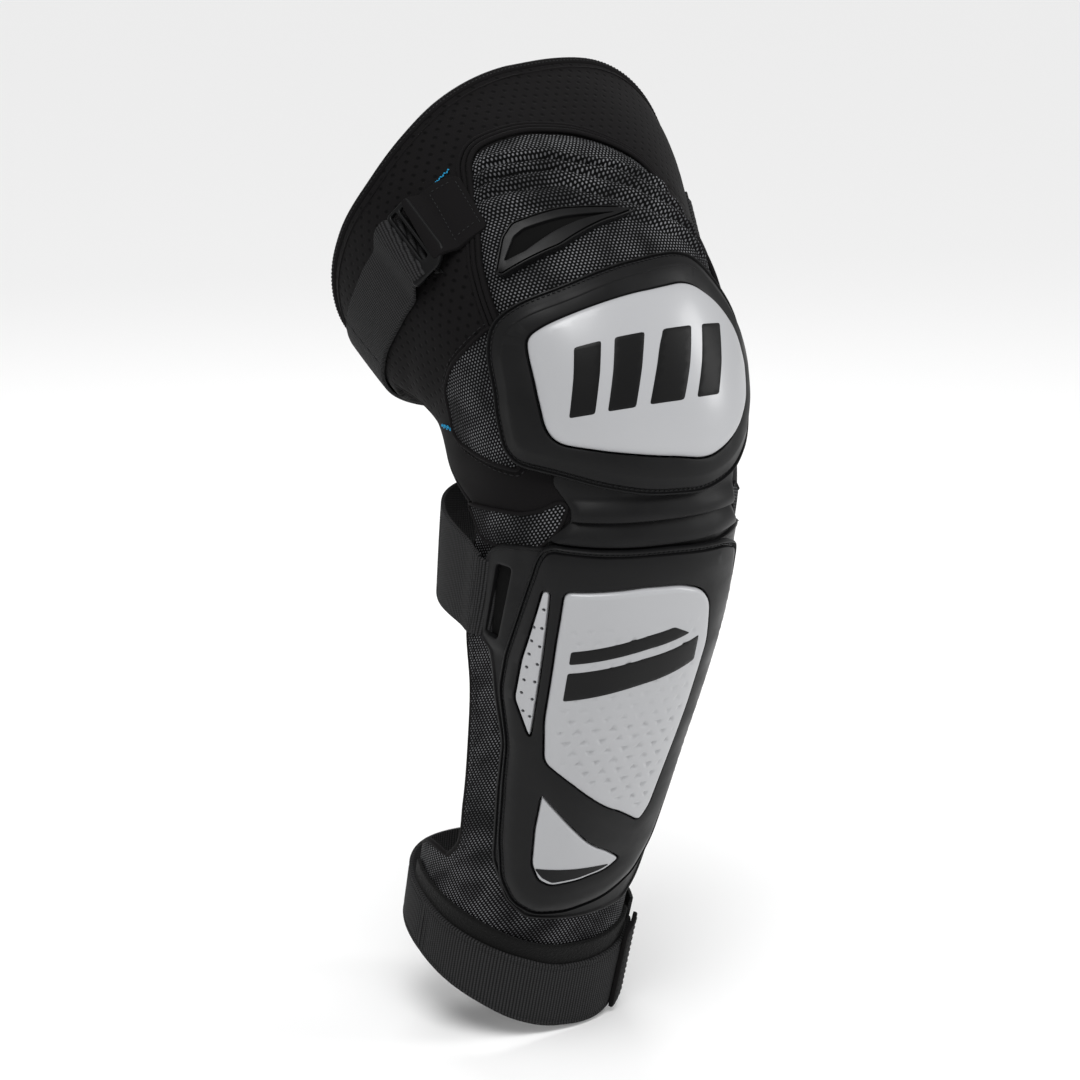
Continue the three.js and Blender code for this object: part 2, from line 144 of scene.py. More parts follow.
def running_tables():
    """Mm round the leg from the front and mm along it from the knee, at each TABLE_S and TABLE_PHI."""
    grid_s, grid_phi = np.meshgrid(TABLE_S, TABLE_PHI, indexing="ij")
    spots = leg(grid_phi, grid_s)
    wide = np.linalg.norm(np.diff(spots, axis=1), axis=-1)
    tall = np.linalg.norm(np.diff(spots, axis=0), axis=-1)
    across = np.concatenate([np.zeros((len(TABLE_S), 1)), wide.cumsum(1)], 1)
    along = np.concatenate([np.zeros((1, len(TABLE_PHI))), tall.cumsum(0)], 0)
    return across - across[:, [TABLE_PHI.searchsorted(0)]], along - along[[TABLE_S.searchsorted(0)], :]


ACROSS, ALONG = running_tables()


def table_value(table, phi, s):
    """A running table's value at (phi, s), linear between its entries."""
    i = np.clip((np.asarray(s) - TABLE_S[0]) / S_STEP, 0, len(TABLE_S) - 1.001)
    j = np.clip((np.asarray(phi) - TABLE_PHI[0]) / PHI_STEP, 0, len(TABLE_PHI) - 1.001)
    i0, j0 = i.astype(int), j.astype(int)
    u, v = i - i0, j - j0
    low = table[i0, j0] * (1 - v) + table[i0, j0 + 1] * v
    high = table[i0 + 1, j0] * (1 - v) + table[i0 + 1, j0 + 1] * v
    return low * (1 - u) + high * u


# ---- outlines ----
def rounded(points, radius=4.0, stretch=1.0, step=2.5):
    """A closed outline of (phi, s) points with its corners rounded, resampled about every step mm."""
    scale = np.array([MM_PER_DEGREE, stretch])
    p = np.array(points, float) * scale
    before, after = np.roll(p, 1, 0) - p, np.roll(p, -1, 0) - p
    lb, la = (np.linalg.norm(v, axis=1, keepdims=True) for v in (before, after))
    start = p + before / lb * np.minimum(radius, 0.49 * lb)
    end = p + after / la * np.minimum(radius, 0.49 * la)
    parts = []
    for i in range(len(p)):
        steps = max(int(np.ceil(np.linalg.norm(end[i] - start[i]) / step * 1.6)), 3)
        turn = np.linspace(0, 1, steps)[:, None]
        parts.append(start[i] * (1 - turn) ** 2 + 2 * p[i] * turn * (1 - turn) + end[i] * turn ** 2)
        gap = start[(i + 1) % len(p)] - end[i]
        n = int(np.linalg.norm(gap) / step)
        if n:
            parts.append(end[i] + gap * (np.arange(1, n + 1) / (n + 1))[:, None])
    loop = np.concatenate(parts)
    keep = np.linalg.norm(loop - np.roll(loop, 1, 0), axis=1) > 0.05
    return loop[keep] / scale


def resample(points, step=2.0):
    """An open line of (phi, s) points as a smooth curve sampled about every step mm."""
    p = np.array(points, float)
    if len(p) > 2:
        t = np.concatenate([[0], np.linalg.norm(np.diff(p * [MM_PER_DEGREE, 1], axis=0), axis=1).cumsum()])
        slopes = np.stack([np.gradient(p[:, k], t) for k in (0, 1)], -1)
        fine = np.linspace(0, t[-1], max(int(t[-1] / 0.7), 4))
        i = np.clip(np.searchsorted(t, fine) - 1, 0, len(t) - 2)
        gap = (t[i + 1] - t[i])[:, None]
        u = ((fine - t[i]) / gap[:, 0])[:, None]
        bend = (2 * u - 3) * u * u
        p = ((bend + 1) * p[i] - bend * p[i + 1] + (u - 1) ** 2 * u * gap * slopes[i]
             + (u - 1) * u * u * gap * slopes[i + 1])
    spots = leg(p[:, 0], p[:, 1])
    run = np.concatenate([[0], np.linalg.norm(np.diff(spots, axis=0), axis=1).cumsum()])
    even = np.linspace(0, run[-1], max(int(run[-1] / step), 2) + 1)
    return np.stack([np.interp(even, run, p[:, k]) for k in (0, 1)], -1)


def inset(loop, margin, surface=leg):
    """The outline moved inwards by margin mm on the surface; negative moves it out."""
    _, _, _, per_phi, per_s = leg_frame(loop[:, 0], loop[:, 1], 0.0, surface)
    scale = np.stack([per_phi, per_s], -1)
    line = unit((np.roll(loop, -1, 0) - np.roll(loop, 1, 0)) * scale)
    area = np.sum(loop[:, 0] * np.roll(loop[:, 1], -1) - loop[:, 1] * np.roll(loop[:, 0], -1))
    inward = np.stack([-line[:, 1], line[:, 0]], -1) * np.sign(area)
    return loop + inward * margin / scale


def inside(points, loop):
    """Which (phi, s) points lie inside the outline."""
    x, y = points[:, :1], points[:, 1:]
    x0, y0 = loop[:, 0], loop[:, 1]
    x1, y1 = np.roll(x0, -1), np.roll(y0, -1)
    crosses = ((y0 > y) != (y1 > y)) & (x < (x1 - x0) * (y - y0) / np.where(y1 == y0, 1e-9, y1 - y0) + x0)
    return crosses.sum(1) % 2 == 1


def edge_distance(points, loops, surface=leg):
    """Distance in mm from each (phi, s) point to the nearest outline."""
    spots = surface(points[:, 0], points[:, 1], 0.0)
    best = np.full(len(points), 1e9)
    for loop in loops:
        a = surface(loop[:, 0], loop[:, 1], 0.0)
        b = np.roll(a, -1, 0)
        ab = b - a
        for k in range(0, len(spots), 2000):
            ap = spots[k:k + 2000, None] - a[None]
            t = np.clip((ap * ab).sum(-1) / np.maximum((ab * ab).sum(-1), 1e-9), 0, 1)
            away = np.linalg.norm(ap - t[..., None] * ab, axis=-1).min(1)
            best[k:k + 2000] = np.minimum(best[k:k + 2000], away)
    return best


def closed(loop):
    """The outline with its first point again at its end."""
    return np.concatenate([loop, loop[:1]])


def mirror(points):
    """The same line on the leg's other side, run the other way."""
    return [(-phi, s) for phi, s in reversed(points)]


def ramp(x, a, b):
    """0 before a, 1 after b, smooth between."""
    t = np.clip((x - a) / (b - a), 0, 1)
    return t * t * (3 - 2 * t)


# ---- meshes ----
def make_object(name, vertices, faces, material, weave=None, sharp=35.0):
    mesh = bpy.data.meshes.new(name)
    mesh.from_pydata([tuple(v) for v in np.asarray(vertices) * MM], [], [tuple(map(int, f)) for f in faces])
    mesh.validate()
    mesh.polygons.foreach_set("use_smooth", [True] * len(mesh.polygons))
    mesh.set_sharp_from_angle(angle=math.radians(sharp))
    if weave is not None:
        mesh.attributes.new("weave", "FLOAT_VECTOR", "POINT").data.foreach_set(
            "vector", np.asarray(weave, np.float32).ravel())
    obj = bpy.data.objects.new(name, mesh)
    bpy.context.scene.collection.objects.link(obj)
    obj.data.materials.append(MATERIALS[material])
    return obj


def ride(obj, body, *nodes):
    """The piece rides on its body and stands for the CAD nodes named."""
    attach(obj, body)
    if nodes:
        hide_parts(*nodes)
    return obj


def bend(obj, bodies, start, end, *nodes):
    """The piece keeps its place, baked into its mesh, and stands for the CAD nodes named. bodies, start and
    end are not used.
    """
    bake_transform(obj)
    if nodes:
        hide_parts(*nodes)
    return obj


def seed_points(loops, margin, grid, stretch, surface):
    """Staggered (phi, s) points that fill the outline and keep clear of its edges."""
    low, high = loops[0].min(0), loops[0].max(0)
    step = grid / MM_PER_DEGREE
    rows = np.arange(low[1], high[1], grid / stretch * ROW_HEIGHT)
    starts = [np.arange(low[0] + (k % 2) * step / 2, high[0], step) for k in range(len(rows))]
    cells = np.concatenate([np.stack([row, np.full(len(row), s)], -1) for row, s in zip(starts, rows)])
    wanted = inside(cells, loops[0])
    for hole in loops[1:]:
        wanted &= ~inside(cells, hole)
    cells = cells[wanted]
    return cells[edge_distance(cells, loops, surface) > margin + grid * 0.5]


def plate(name, material, loops, inner, outer, grid=3.0, rings=(0.4, 1.0, 1.8), hole_rings=(0.4, 1.0),
          stretch=1.0, sharp=35.0, surface=leg):
    """A closed sheet or shell bent onto the leg: loops[0] is its outline and the others its holes. inner
    and outer are its heights, as numbers or functions of (phi, s, d, e): d is the distance in mm to the
    nearest edge, and e the distance to the outline alone."""
    lines = list(loops) + [inset(loops[0], depth, surface) for depth in rings]
    lines += [inset(hole, -depth, surface) for hole in loops[1:] for depth in hole_rings]
    cells = seed_points(loops, max(rings, default=0), grid, stretch, surface)
    scale = np.array([MM_PER_DEGREE, stretch])
    flat, edges = [], []
    for line in lines:
        first, n = len(flat), len(line)
        flat += [Vector(p * scale) for p in line]
        edges += [(first + i, first + (i + 1) % n) for i in range(n)]
    flat += [Vector(p * scale) for p in cells]
    points, _, triangles, _, _, _ = delaunay_2d_cdt(flat, edges, [], 0, 1e-4)
    points = np.array(points) / scale
    triangles = np.array([t for t in triangles if len(t) == 3])
    middle = points[triangles].mean(1)
    wanted = inside(middle, loops[0])
    for hole in loops[1:]:
        wanted &= ~inside(middle, hole)
    used, triangles = np.unique(triangles[wanted], return_inverse=True)
    triangles = triangles.reshape(-1, 3)
    points = points[used]
    phi, s = points.T
    d, e = edge_distance(points, loops, surface), edge_distance(points, loops[:1], surface)
    top = np.broadcast_to(outer(phi, s, d, e) if callable(outer) else outer, phi.shape)
    bottom = np.broadcast_to(inner(phi, s, d, e) if callable(inner) else inner, phi.shape)
    n = len(points)
    sides = [(int(t[k]), int(t[(k + 1) % 3])) for t in triangles for k in range(3)]
    known = set(sides)
    faces = [tuple(t) for t in triangles] + [tuple(t[::-1] + n) for t in triangles]
    faces += [(b, a, a + n, b + n) for a, b in sides if (b, a) not in known]
    across, along = table_value(ACROSS, phi, s), table_value(ALONG, phi, s)
    weave = np.concatenate([np.stack([across, along, top], -1), np.stack([across, along, bottom], -1)])
    vertices = np.concatenate([surface(phi, s, top), surface(phi, s, bottom)])
    return make_object(name, vertices, faces, material, weave, sharp)


def tube(name, material, path, radius, h, sides=10, flat=1.0, ring=False):
    """A round or flattened cord laid along a line of (phi, s) points at height h."""
    path = np.asarray(path, float)
    spots = leg(path[:, 0], path[:, 1], h)
    _, _, out, _, _ = leg_frame(path[:, 0], path[:, 1])
    step = np.roll(spots, -1, 0) - np.roll(spots, 1, 0) if ring else np.gradient(spots, axis=0)
    across = unit(np.cross(out, unit(step)))
    turn = np.linspace(0, 2 * np.pi, sides, endpoint=False)
    rings = (spots[:, None] + across[:, None] * (np.cos(turn) * radius)[None, :, None]
             + out[:, None] * (np.sin(turn) * radius * flat)[None, :, None])
    n = len(path)
    faces = []
    for i in range(n if ring else n - 1):
        for k in range(sides):
            a, b, j = i * sides + k, i * sides + (k + 1) % sides, (i + 1) % n
            faces.append((a, b, j * sides + (k + 1) % sides, j * sides + k))
    if not ring:
        faces += [tuple(range(sides - 1, -1, -1)), tuple(range((n - 1) * sides, n * sides))]
    run = np.concatenate([[0], np.linalg.norm(np.diff(spots, axis=0), axis=1).cumsum()])
    weave = np.stack([np.repeat(run, sides), np.tile(turn * radius, n), np.zeros(n * sides)], -1)
    return make_object(name, rings.reshape(-1, 3), faces, material, weave, 60.0)


def stitches(name, paths, h, length=2.4, gap=1.5, radius=0.3, material="thread"):
    """Rows of thread stitches lying along lines of (phi, s) points, at height h or h(phi, s)."""
    shape = np.array([[0, 0.35], [0.12, 0.85], [0.5, 1.0], [0.88, 0.85], [1, 0.35]])  # along, thickness
    sides, last = 6, len(shape) - 1
    turn = np.linspace(0, 2 * np.pi, sides, endpoint=False)
    vertices, faces = [], []
    for path in paths:
        path = np.asarray(path, float)
        flat = leg(path[:, 0], path[:, 1])
        run = np.concatenate([[0], np.linalg.norm(np.diff(flat, axis=0), axis=1).cumsum()])
        for start in np.arange(0.5, run[-1] - length, length + gap):
            at = start + shape[:, 0] * length
            phi, s = np.interp(at, run, path[:, 0]), np.interp(at, run, path[:, 1])
            line = leg(phi, s, h(phi, s) if callable(h) else h)
            _, _, out, _, _ = leg_frame(phi, s)
            side = unit(np.cross(out, unit(np.gradient(line, axis=0))))
            line = line - out * (radius * 0.5 * (1 - shape[:, 1:]))
            ring = (side[:, None] * np.cos(turn)[:, None] + out[:, None] * np.sin(turn)[:, None])
            base = len(vertices)
            vertices += list((line[:, None] + ring * (radius * shape[:, 1])[:, None, None]).reshape(-1, 3))
            for i in range(last):
                for k in range(sides):
                    a, b = base + i * sides + k, base + i * sides + (k + 1) % sides
                    faces.append((a, b, b + sides, a + sides))
            faces.append(tuple(base + sides - 1 - k for k in range(sides)))
            faces.append(tuple(base + last * sides + k for k in range(sides)))
    return make_object(name, vertices, faces, material, None, 80.0)


def evaluated_mesh(obj):
    """The piece's mesh with its modifiers taken in, which are then removed."""
    scene_state = bpy.context.evaluated_depsgraph_get()
    mesh = bpy.data.meshes.new_from_object(obj.evaluated_get(scene_state))
    obj.modifiers.clear()
    obj.data = mesh


VOXEL, SWELL_CAP, CLOTH_PRESSURE, CLOTH_STEPS = 4.0, 2.5, 4.0, 20  # mm, mm, N per m2, frames


def inflate(obj, sewn):
    """Swells a pad with a short cloth simulation. Its first sewn vertices, the face that lies on the
    liner, stay put, and no point moves more than SWELL_CAP mm."""
    n = len(obj.data.vertices)
    spots = np.zeros(n * 3)
    obj.data.vertices.foreach_get("co", spots)
    weave = np.zeros(n * 3)
    obj.data.attributes["weave"].data.foreach_get("vector", weave)
    finder = KDTree(n)
    for i, spot in enumerate(spots.reshape(-1, 3)):
        finder.insert(spot, i)
    finder.balance()
    remesh = obj.modifiers.new("voxels", "REMESH")
    remesh.mode, remesh.voxel_size = "VOXEL", VOXEL * MM
    evaluated_mesh(obj)
    nearest = [finder.find(v.co)[1] for v in obj.data.vertices]
    held = obj.vertex_groups.new(name="sewn")
    held.add([i for i, k in enumerate(nearest) if k < sewn], 1.0, "REPLACE")
    rest = np.array([v.co for v in obj.data.vertices])
    cloth = obj.modifiers.new("cloth", "CLOTH")
    cloth.settings.use_pressure = True
    cloth.settings.uniform_pressure_force = CLOTH_PRESSURE
    cloth.settings.effector_weights.gravity = 0
    cloth.settings.vertex_group_mass = "sewn"
    cloth.point_cache.frame_start, cloth.point_cache.frame_end = 1, CLOTH_STEPS
    for step in range(1, CLOTH_STEPS + 1):
        bpy.context.scene.frame_set(step)
    evaluated_mesh(obj)
    travel = np.array([v.co for v in obj.data.vertices]) - rest
    length = np.linalg.norm(travel, axis=1, keepdims=True)
    travel *= np.minimum(1, SWELL_CAP * MM / np.maximum(length, 1e-9))
    obj.data.vertices.foreach_set("co", (rest + travel).astype(np.float32).ravel())
    bpy.context.scene.frame_set(1)
    obj.modifiers.new("smooth", "SUBSURF").levels = 1
    evaluated_mesh(obj)
    nearest = [finder.find(v.co)[1] for v in obj.data.vertices]
    obj.data.attributes.new("weave", "FLOAT_VECTOR", "POINT").data.foreach_set(
        "vector", weave.reshape(-1, 3)[nearest].astype(np.float32).ravel())
    obj.data.polygons.foreach_set("use_smooth", [True] * len(obj.data.polygons))


# ---- materials ----
def new_material(name, color, roughness, **inputs):
    material = bpy.data.materials.new(name)
    material.use_nodes = True
    shader = material.node_tree.nodes["Principled BSDF"]
    shader.inputs["Base Color"].default_value = (*color, 1)
    shader.inputs["Roughness"].default_value = roughness
    for key, value in inputs.items():
        shader.inputs[key.replace("_", " ")].default_value = value
    return material, material.node_tree, shader


def node(tree, kind, inputs=None, **settings):
    made = tree.nodes.new(kind)
    for key, value in settings.items():
        setattr(made, key, value)
    for key, value in (inputs or {}).items():
        if isinstance(value, bpy.types.NodeSocket):
            tree.links.new(value, made.inputs[key])
        else:
            made.inputs[key].default_value = value
    return made


def maths(tree, operation, a, b=0.0, c=0.0):
    return node(tree, "ShaderNodeMath", {0: a, 1: b, 2: c}, operation=operation).outputs[0]


def weave_axes(tree):
    """The piece's own cloth coordinates in mm: all three, round the leg, and along it."""
    spot = node(tree, "ShaderNodeAttribute", attribute_name="weave").outputs["Vector"]
    split = node(tree, "ShaderNodeSeparateXYZ", {0: spot})
    return spot, split.outputs["X"], split.outputs["Y"]


def bump(tree, shader, height, distance, strength=1.0):
    made = node(tree, "ShaderNodeBump", {"Height": height, "Distance": distance * MM, "Strength": strength})
    tree.links.new(made.outputs["Normal"], shader.inputs["Normal"])


def noise(tree, vector, scale, detail=3.0):
    inputs = {"Vector": vector, "Scale": scale, "Detail": detail}
    return node(tree, "ShaderNodeTexNoise", inputs).outputs["Fac"]


def between(tree, value, start, end, low=0.0, high=1.0):
    """The value's share of the way from start to end, scaled to low and high."""
    return node(tree, "ShaderNodeMapRange", {0: value, 1: start, 2: end, 3: low, 4: high}).outputs[0]


def cell_distance(tree, across, along, pitch, wide, tall):
    """Distance from the middle of the nearest cell of a staggered grid. pitch is a cell's size in mm, and
    wide and tall scale the two directions."""
    row = maths(tree, "DIVIDE", along, pitch[1])
    odd = maths(tree, "MODULO", maths(tree, "ABSOLUTE", maths(tree, "FLOOR", row)), 2.0)
    column = maths(tree, "MULTIPLY_ADD", odd, 0.5, maths(tree, "DIVIDE", across, pitch[0]))
    squares = []
    for cell, scale in ((column, wide), (row, tall)):
        off = maths(tree, "SUBTRACT", maths(tree, "FRACT", cell), 0.5)
        squares.append(maths(tree, "POWER", maths(tree, "MULTIPLY", off, scale), 2.0))
    return maths(tree, "SQRT", maths(tree, "ADD", *squares))


def wave(tree, value, period):
    """Rounded ribs: the size of a sine that peaks once in each period mm."""
    return maths(tree, "ABSOLUTE", maths(tree, "SINE", maths(tree, "MULTIPLY", value, math.pi / period)))


def two_tone(tree, shader, factor, dark, light):
    mix = node(tree, "ShaderNodeMix", {"Factor": factor}, data_type="RGBA")
    mix.inputs[6].default_value = (*dark, 1)
    mix.inputs[7].default_value = (*light, 1)
    tree.links.new(mix.outputs[2], shader.inputs["Base Color"])


def white_plastic():
    """Satin white plastic with a fine grain under a thin clear coat."""
    material, tree, shader = new_material("white_plastic", (0.37, 0.374, 0.386), 0.3, Coat_Weight=0.25,
                                          Coat_Roughness=0.16)
    grain = noise(tree, node(tree, "ShaderNodeTexCoord").outputs["Object"], 900.0)
    bump(tree, shader, grain, 0.02, 0.25)
    return material


def moulded_black(name, color, roughness, grain_mm, depth):
    """Satin moulded rubber or plastic with a fine grain and faint scuffs."""
    material, tree, shader = new_material(name, color, roughness, Specular_IOR_Level=0.15)
    spot = node(tree, "ShaderNodeTexCoord").outputs["Object"]
    scuffs = noise(tree, spot, 60.0, 8.0)
    rough = between(tree, scuffs, 0.35, 0.7, roughness - 0.07, roughness + 0.1)
    tree.links.new(rough, shader.inputs["Roughness"])
    bump(tree, shader, noise(tree, spot, 1000.0 / grain_mm, 2.0), depth, 0.6)
    return material


def spacer_mesh():
    """Open 3-D mesh: pale yarn loops in rows over a black ground."""
    material, tree, shader = new_material("spacer_mesh", (0.02, 0.02, 0.021), 0.75, Specular_IOR_Level=0.07)
    spot, across, along = weave_axes(tree)
    away = cell_distance(tree, across, along, (2.15, 1.65), 1.5, 1.1)
    loop = between(tree, away, 0.46, 0.26)
    patchy = between(tree, noise(tree, spot, 0.045, 2.0), 0.38, 0.62, 0.3)
    pale = maths(tree, "MULTIPLY", loop, patchy)
    two_tone(tree, shader, pale, (0.0012, 0.0012, 0.0014), (0.17, 0.172, 0.18))
    bump(tree, shader, loop, 0.5, 0.9)
    return material


def neoprene(name, holes):
    """Jersey-faced neoprene, with a grid of pricked dimples where holes is their pitch in mm; the middle of
    each dimple is coloured darker as painted shade.
    """
    material, tree, shader = new_material(name, (0.0052, 0.0047, 0.0050), 0.8, Specular_IOR_Level=0.08,
                                          Sheen_Weight=0.015, Sheen_Roughness=0.4)
    spot, across, along = weave_axes(tree)
    height = maths(tree, "MULTIPLY", noise(tree, spot, 1.6, 2.0), 0.25)
    if holes:
        dimple = between(tree, cell_distance(tree, across, along, (holes, holes * 0.8), 1.0, 0.8), 0.1, 0.24)
        height = maths(tree, "ADD", height, dimple)
        # painted shade: the middle of each dimple is coloured darker than the neoprene round it
        two_tone(tree, shader, dimple, (0.0012, 0.0011, 0.0012), (0.0052, 0.0047, 0.0050))
    bump(tree, shader, height, 0.5, 0.6)
    return material


def ribbed_elastic():
    """Knitted elastic webbing: close ribs across its width, picked into short stitches, with a painted
    highlight on each crest and painted shade in the grooves.
    """
    material, tree, shader = new_material("ribbed_elastic", (0.006, 0.006, 0.006), 0.75,
                                          Specular_IOR_Level=0.08)
    _, across, along = weave_axes(tree)
    pick = maths(tree, "MULTIPLY_ADD", wave(tree, along, 1.4), 0.5, 0.5)
    cell = maths(tree, "MULTIPLY", wave(tree, across, 1.7), pick)
    # painted light: the rib height that drives the bump also colours the crests lighter and the grooves
    # darker
    two_tone(tree, shader, cell, (0.0008, 0.0008, 0.0008), (0.034, 0.034, 0.035))
    bump(tree, shader, cell, 0.4, 0.8)
    return material


def hook_pile():
    """Fuzzy loop pile of a hook-and-loop band."""
    material, tree, shader = new_material("loop_pile", (0.005, 0.005, 0.005), 0.95, Specular_IOR_Level=0.1,
                                          Sheen_Weight=0.06)
    bump(tree, shader, noise(tree, weave_axes(tree)[0], 0.9, 6.0), 0.8, 1.0)
    return material


def plain(name, color, roughness, grain):
    """An even colour with a fine grain."""
    material, tree, shader = new_material(name, color, roughness, Specular_IOR_Level=0.15)
    spot = node(tree, "ShaderNodeTexCoord").outputs["Object"]
    bump(tree, shader, noise(tree, spot, grain, 3.0), 0.1, 0.4)
    return material


MATERIALS = {
    "white": white_plastic(),
    "rubber": moulded_black("moulded_rubber", (0.0052, 0.0052, 0.0055), 0.44, 0.5, 0.04),
    "plastic": moulded_black("black_plastic", (0.0045, 0.0045, 0.0048), 0.38, 0.4, 0.03),
    "mesh": spacer_mesh(),
    "neoprene": neoprene("neoprene_plain", 0),
    "dimpled": neoprene("neoprene_dimpled", 6.5),
    "elastic": ribbed_elastic(),
    "pile": hook_pile(),
    "foam": neoprene("foam_lining", 9.0),
    "thread": plain("black_thread", (0.014, 0.014, 0.015), 0.6, 2500.0),
    "blue_thread": plain("blue_thread", (0.02, 0.3, 0.55), 0.6, 2500.0),
    "mark": plain("black_mark", (0.004, 0.004, 0.0042), 0.4, 1200.0),
    # painted shade: a near-black, darker than the black plastics, for sheets that stand in for the shade in
    # slots and recesses
    "painted_shade": plain("recess_painted_shade", (0.001, 0.001, 0.001), 0.9, 900.0),
}


# ---- shapes shared by the pieces ----
def edge(d, width=1.5, drop=1.2):
    """Rounding of a piece's edge: how far the face falls at d mm from it."""
    return -drop * (1 - np.sqrt(1 - (1 - np.clip(d / width, 0, 1)) ** 2))


def smooth_line(points, phi):
    """Smooth value of an edge, a list of (phi, s) points, at each phi."""
    p = np.array(points, float)
    slopes = np.gradient(p[:, 1], p[:, 0])
    i = np.clip(np.searchsorted(p[:, 0], phi) - 1, 0, len(p) - 2)
    gap = p[i + 1, 0] - p[i, 0]
    u = (phi - p[i, 0]) / gap
    turn = (2 * u - 3) * u * u
    return ((turn + 1) * p[i, 1] - turn * p[i + 1, 1]
            + (u - 1) ** 2 * u * gap * slopes[i] + (u - 1) * u * u * gap * slopes[i + 1])


def edge_line(points, a, b, step=2.4):
    """A smooth edge from phi a to phi b as (phi, s) points."""
    phi = np.linspace(a, b, max(int(abs(b - a) * MM_PER_DEGREE / step), 2) + 1)
    return np.stack([phi, smooth_line(points, phi)], -1)


def band(lower, upper, a, b, step=2.4):
    """Outline of a strip round the leg between two edges, from phi a to phi b."""
    low, high = edge_line(lower, a, b, step), edge_line(upper, a, b, step)
    rows = max(int(abs(high[0, 1] - low[0, 1]) / step), 2)
    share = (np.arange(1, rows) / rows)[:, None]
    right = low[-1] + (high[-1] - low[-1]) * share
    left = high[0] + (low[0] - high[0]) * share
    return np.concatenate([low, right, high[::-1], left])


def moved(points, d_phi, d_s):
    """The same points shifted by d_phi degrees and d_s mm."""
    return [(phi + d_phi, s + d_s) for phi, s in points]


def rounded_face(top, width=1.4, drop=1.0):
    """A level face with its edges rounded off."""
    return lambda phi, s, d, e: top + edge(d, width, drop)


def under(face, thick):
    """The inner face of a cloth that is thick mm through, under a face and without that face's edges."""
    return lambda phi, s, d, e: face(phi, s, FAR, FAR) - thick


def circle(phi, s, radius):
    """A round outline, radius in mm."""
    turn = np.linspace(0, 2 * np.pi, 10, endpoint=False)
    return np.stack([phi + np.cos(turn) * radius / MM_PER_DEGREE, s + np.sin(turn) * radius], -1)


FAR = 9.0  # mm, further from a piece's edge than its rounding reaches
KNEE_STRETCH = 1.7  # mm of the knee's front face to one mm of s
PANEL_STRETCH = 1.4  # the same for the folded mesh front
SIDE_STRETCH = 1.2  # and for the knee's sides
CLOTH_BACK, SHELL_BACK, FRAME_BACK = -3, 3.9, 3.7  # inner faces of the cloths, the shells and the frames

# ---- shin: sleeve, pads, carrier ----
LINER_SIDE = [(-88, -47), (-88.5, -90), (-88, -130), (-83, -156), (-80, -190), (-78, -232), (-79, -262),
    (-86, -274), (-112, -286), (-122, -298), (-122, -332)]
LINER_HEM = [(-60, -334), (-20, -348), (20, -356), (60, -348)]
LINER_TOP = [(60, -51), (30, -56), (0, -57), (-30, -56), (-60, -51)]
LINER = rounded(LINER_SIDE + LINER_HEM + mirror(LINER_SIDE) + LINER_TOP, 9, step=3.5)


def liner_face(phi, s, d, e):
    """The sleeve's outer face, with soft pulls running down from the strap and the calf."""
    pulls = np.sin(phi / 9 + s / 17) * np.sin(s / 31 + phi / 23)
    return 0.35 * pulls * ramp(d, 2, 14) + edge(d, 2.0, 1.2)


ride(plate("shin_sleeve", "mesh", [LINER], CLOTH_BACK, liner_face, grid=5, rings=(0.8, 2.0, 4.0)),
     "shin", "shin_liner_outer", "shin_liner_inner")
for side, turn in (("outer", lambda p: p), ("inner", mirror)):
    rim = resample(turn([(-87, -52)] + moved(LINER_SIDE[1:8], 0.6, 0)), 2.5)
    ride(tube(f"shin_edge_{side}", "neoprene", rim, 2.1, -1.5, flat=0.85), "shin", f"shin_binding_{side}")
    flare = resample(turn(moved(LINER_SIDE[7:], 1.0, 0)), 2.0)
    ride(tube(f"shin_flare_edge_{side}", "neoprene", flare, 1.7, -1.4, flat=0.85), "shin")
    rows = [resample(turn(moved(LINER_SIDE[1:8], 4.6, 0)), 3)]
    ride(stitches(f"shin_edge_stitch_{side}", rows, 0.15), "shin")


def padding(thick, channels):
    """Inner face of a pad that swells thick mm towards the leg, with sewn channels across it."""
    def height(phi, s, d, e):
        groove = sum(np.exp(-((s - at) / 3.0) ** 2) for at in channels)
        return -4.6 - (thick - 1.5) * np.sqrt(ramp(d, -2, 16)) * (1 - 0.55 * np.clip(groove, 0, 1))
    return height


def pad(name, outline, thick, channels, stretch, body, node_name):
    """A foam pad on the liner's inner face, swollen by cloth simulation."""
    obj = plate(name, "foam", [rounded(outline, 14, stretch, 3.5)], padding(thick, channels), -3.75,
                grid=4.5, rings=(1.0, 3.0), stretch=stretch)
    inflate(obj, len(obj.data.vertices) // 2)
    ride(obj, body, node_name)


pad("shin_pad", [(-44, -62), (44, -62), (46, -180), (36, -240), (14, -268), (-14, -268), (-36, -240),
    (-46, -180)], 6.0, (-100, -140, -180, -220), 1.0, "shin", "shin_foam")

FLANGE = [(-48, -55), (-60, -57), (-70, -60), (-76, -66), (-78, -80), (-79, -104), (-78.5, -118),
    (-71, -122), (-68, -134), (-65, -150), (-58, -175), (-57, -206), (-53, -252), (-41, -277), (-28, -288)]
SLOT = rounded([(-62, -68), (-66, -114), (-73, -114), (-70, -70)], 2.5, step=1.5)
SLOT_FAR = np.array(mirror(SLOT))
CARRIER = rounded(FLANGE + [(0, -290)] + mirror(FLANGE) + [(0, -55)], 5, step=2.2)


def carrier_face(phi, s, d, e):
    """The base's outer face: a lip round it, and a raised bracket round each slot."""
    lip = 0.9 * (1 - ramp(e, 1.4, 2.2))
    bracket = np.where(d < e - 0.05, 1.6 * (1 - ramp(d, 3.0, 6.0)), 0)
    plateau = 1.3 * ramp(np.abs(phi), 58, 62) * ramp(-s, 52, 58) * ramp(s, -124, -118) * ramp(e, 0, 1.5)
    return 2.5 + lip + np.maximum(bracket, plateau) + edge(d, 0.8, 1.0)


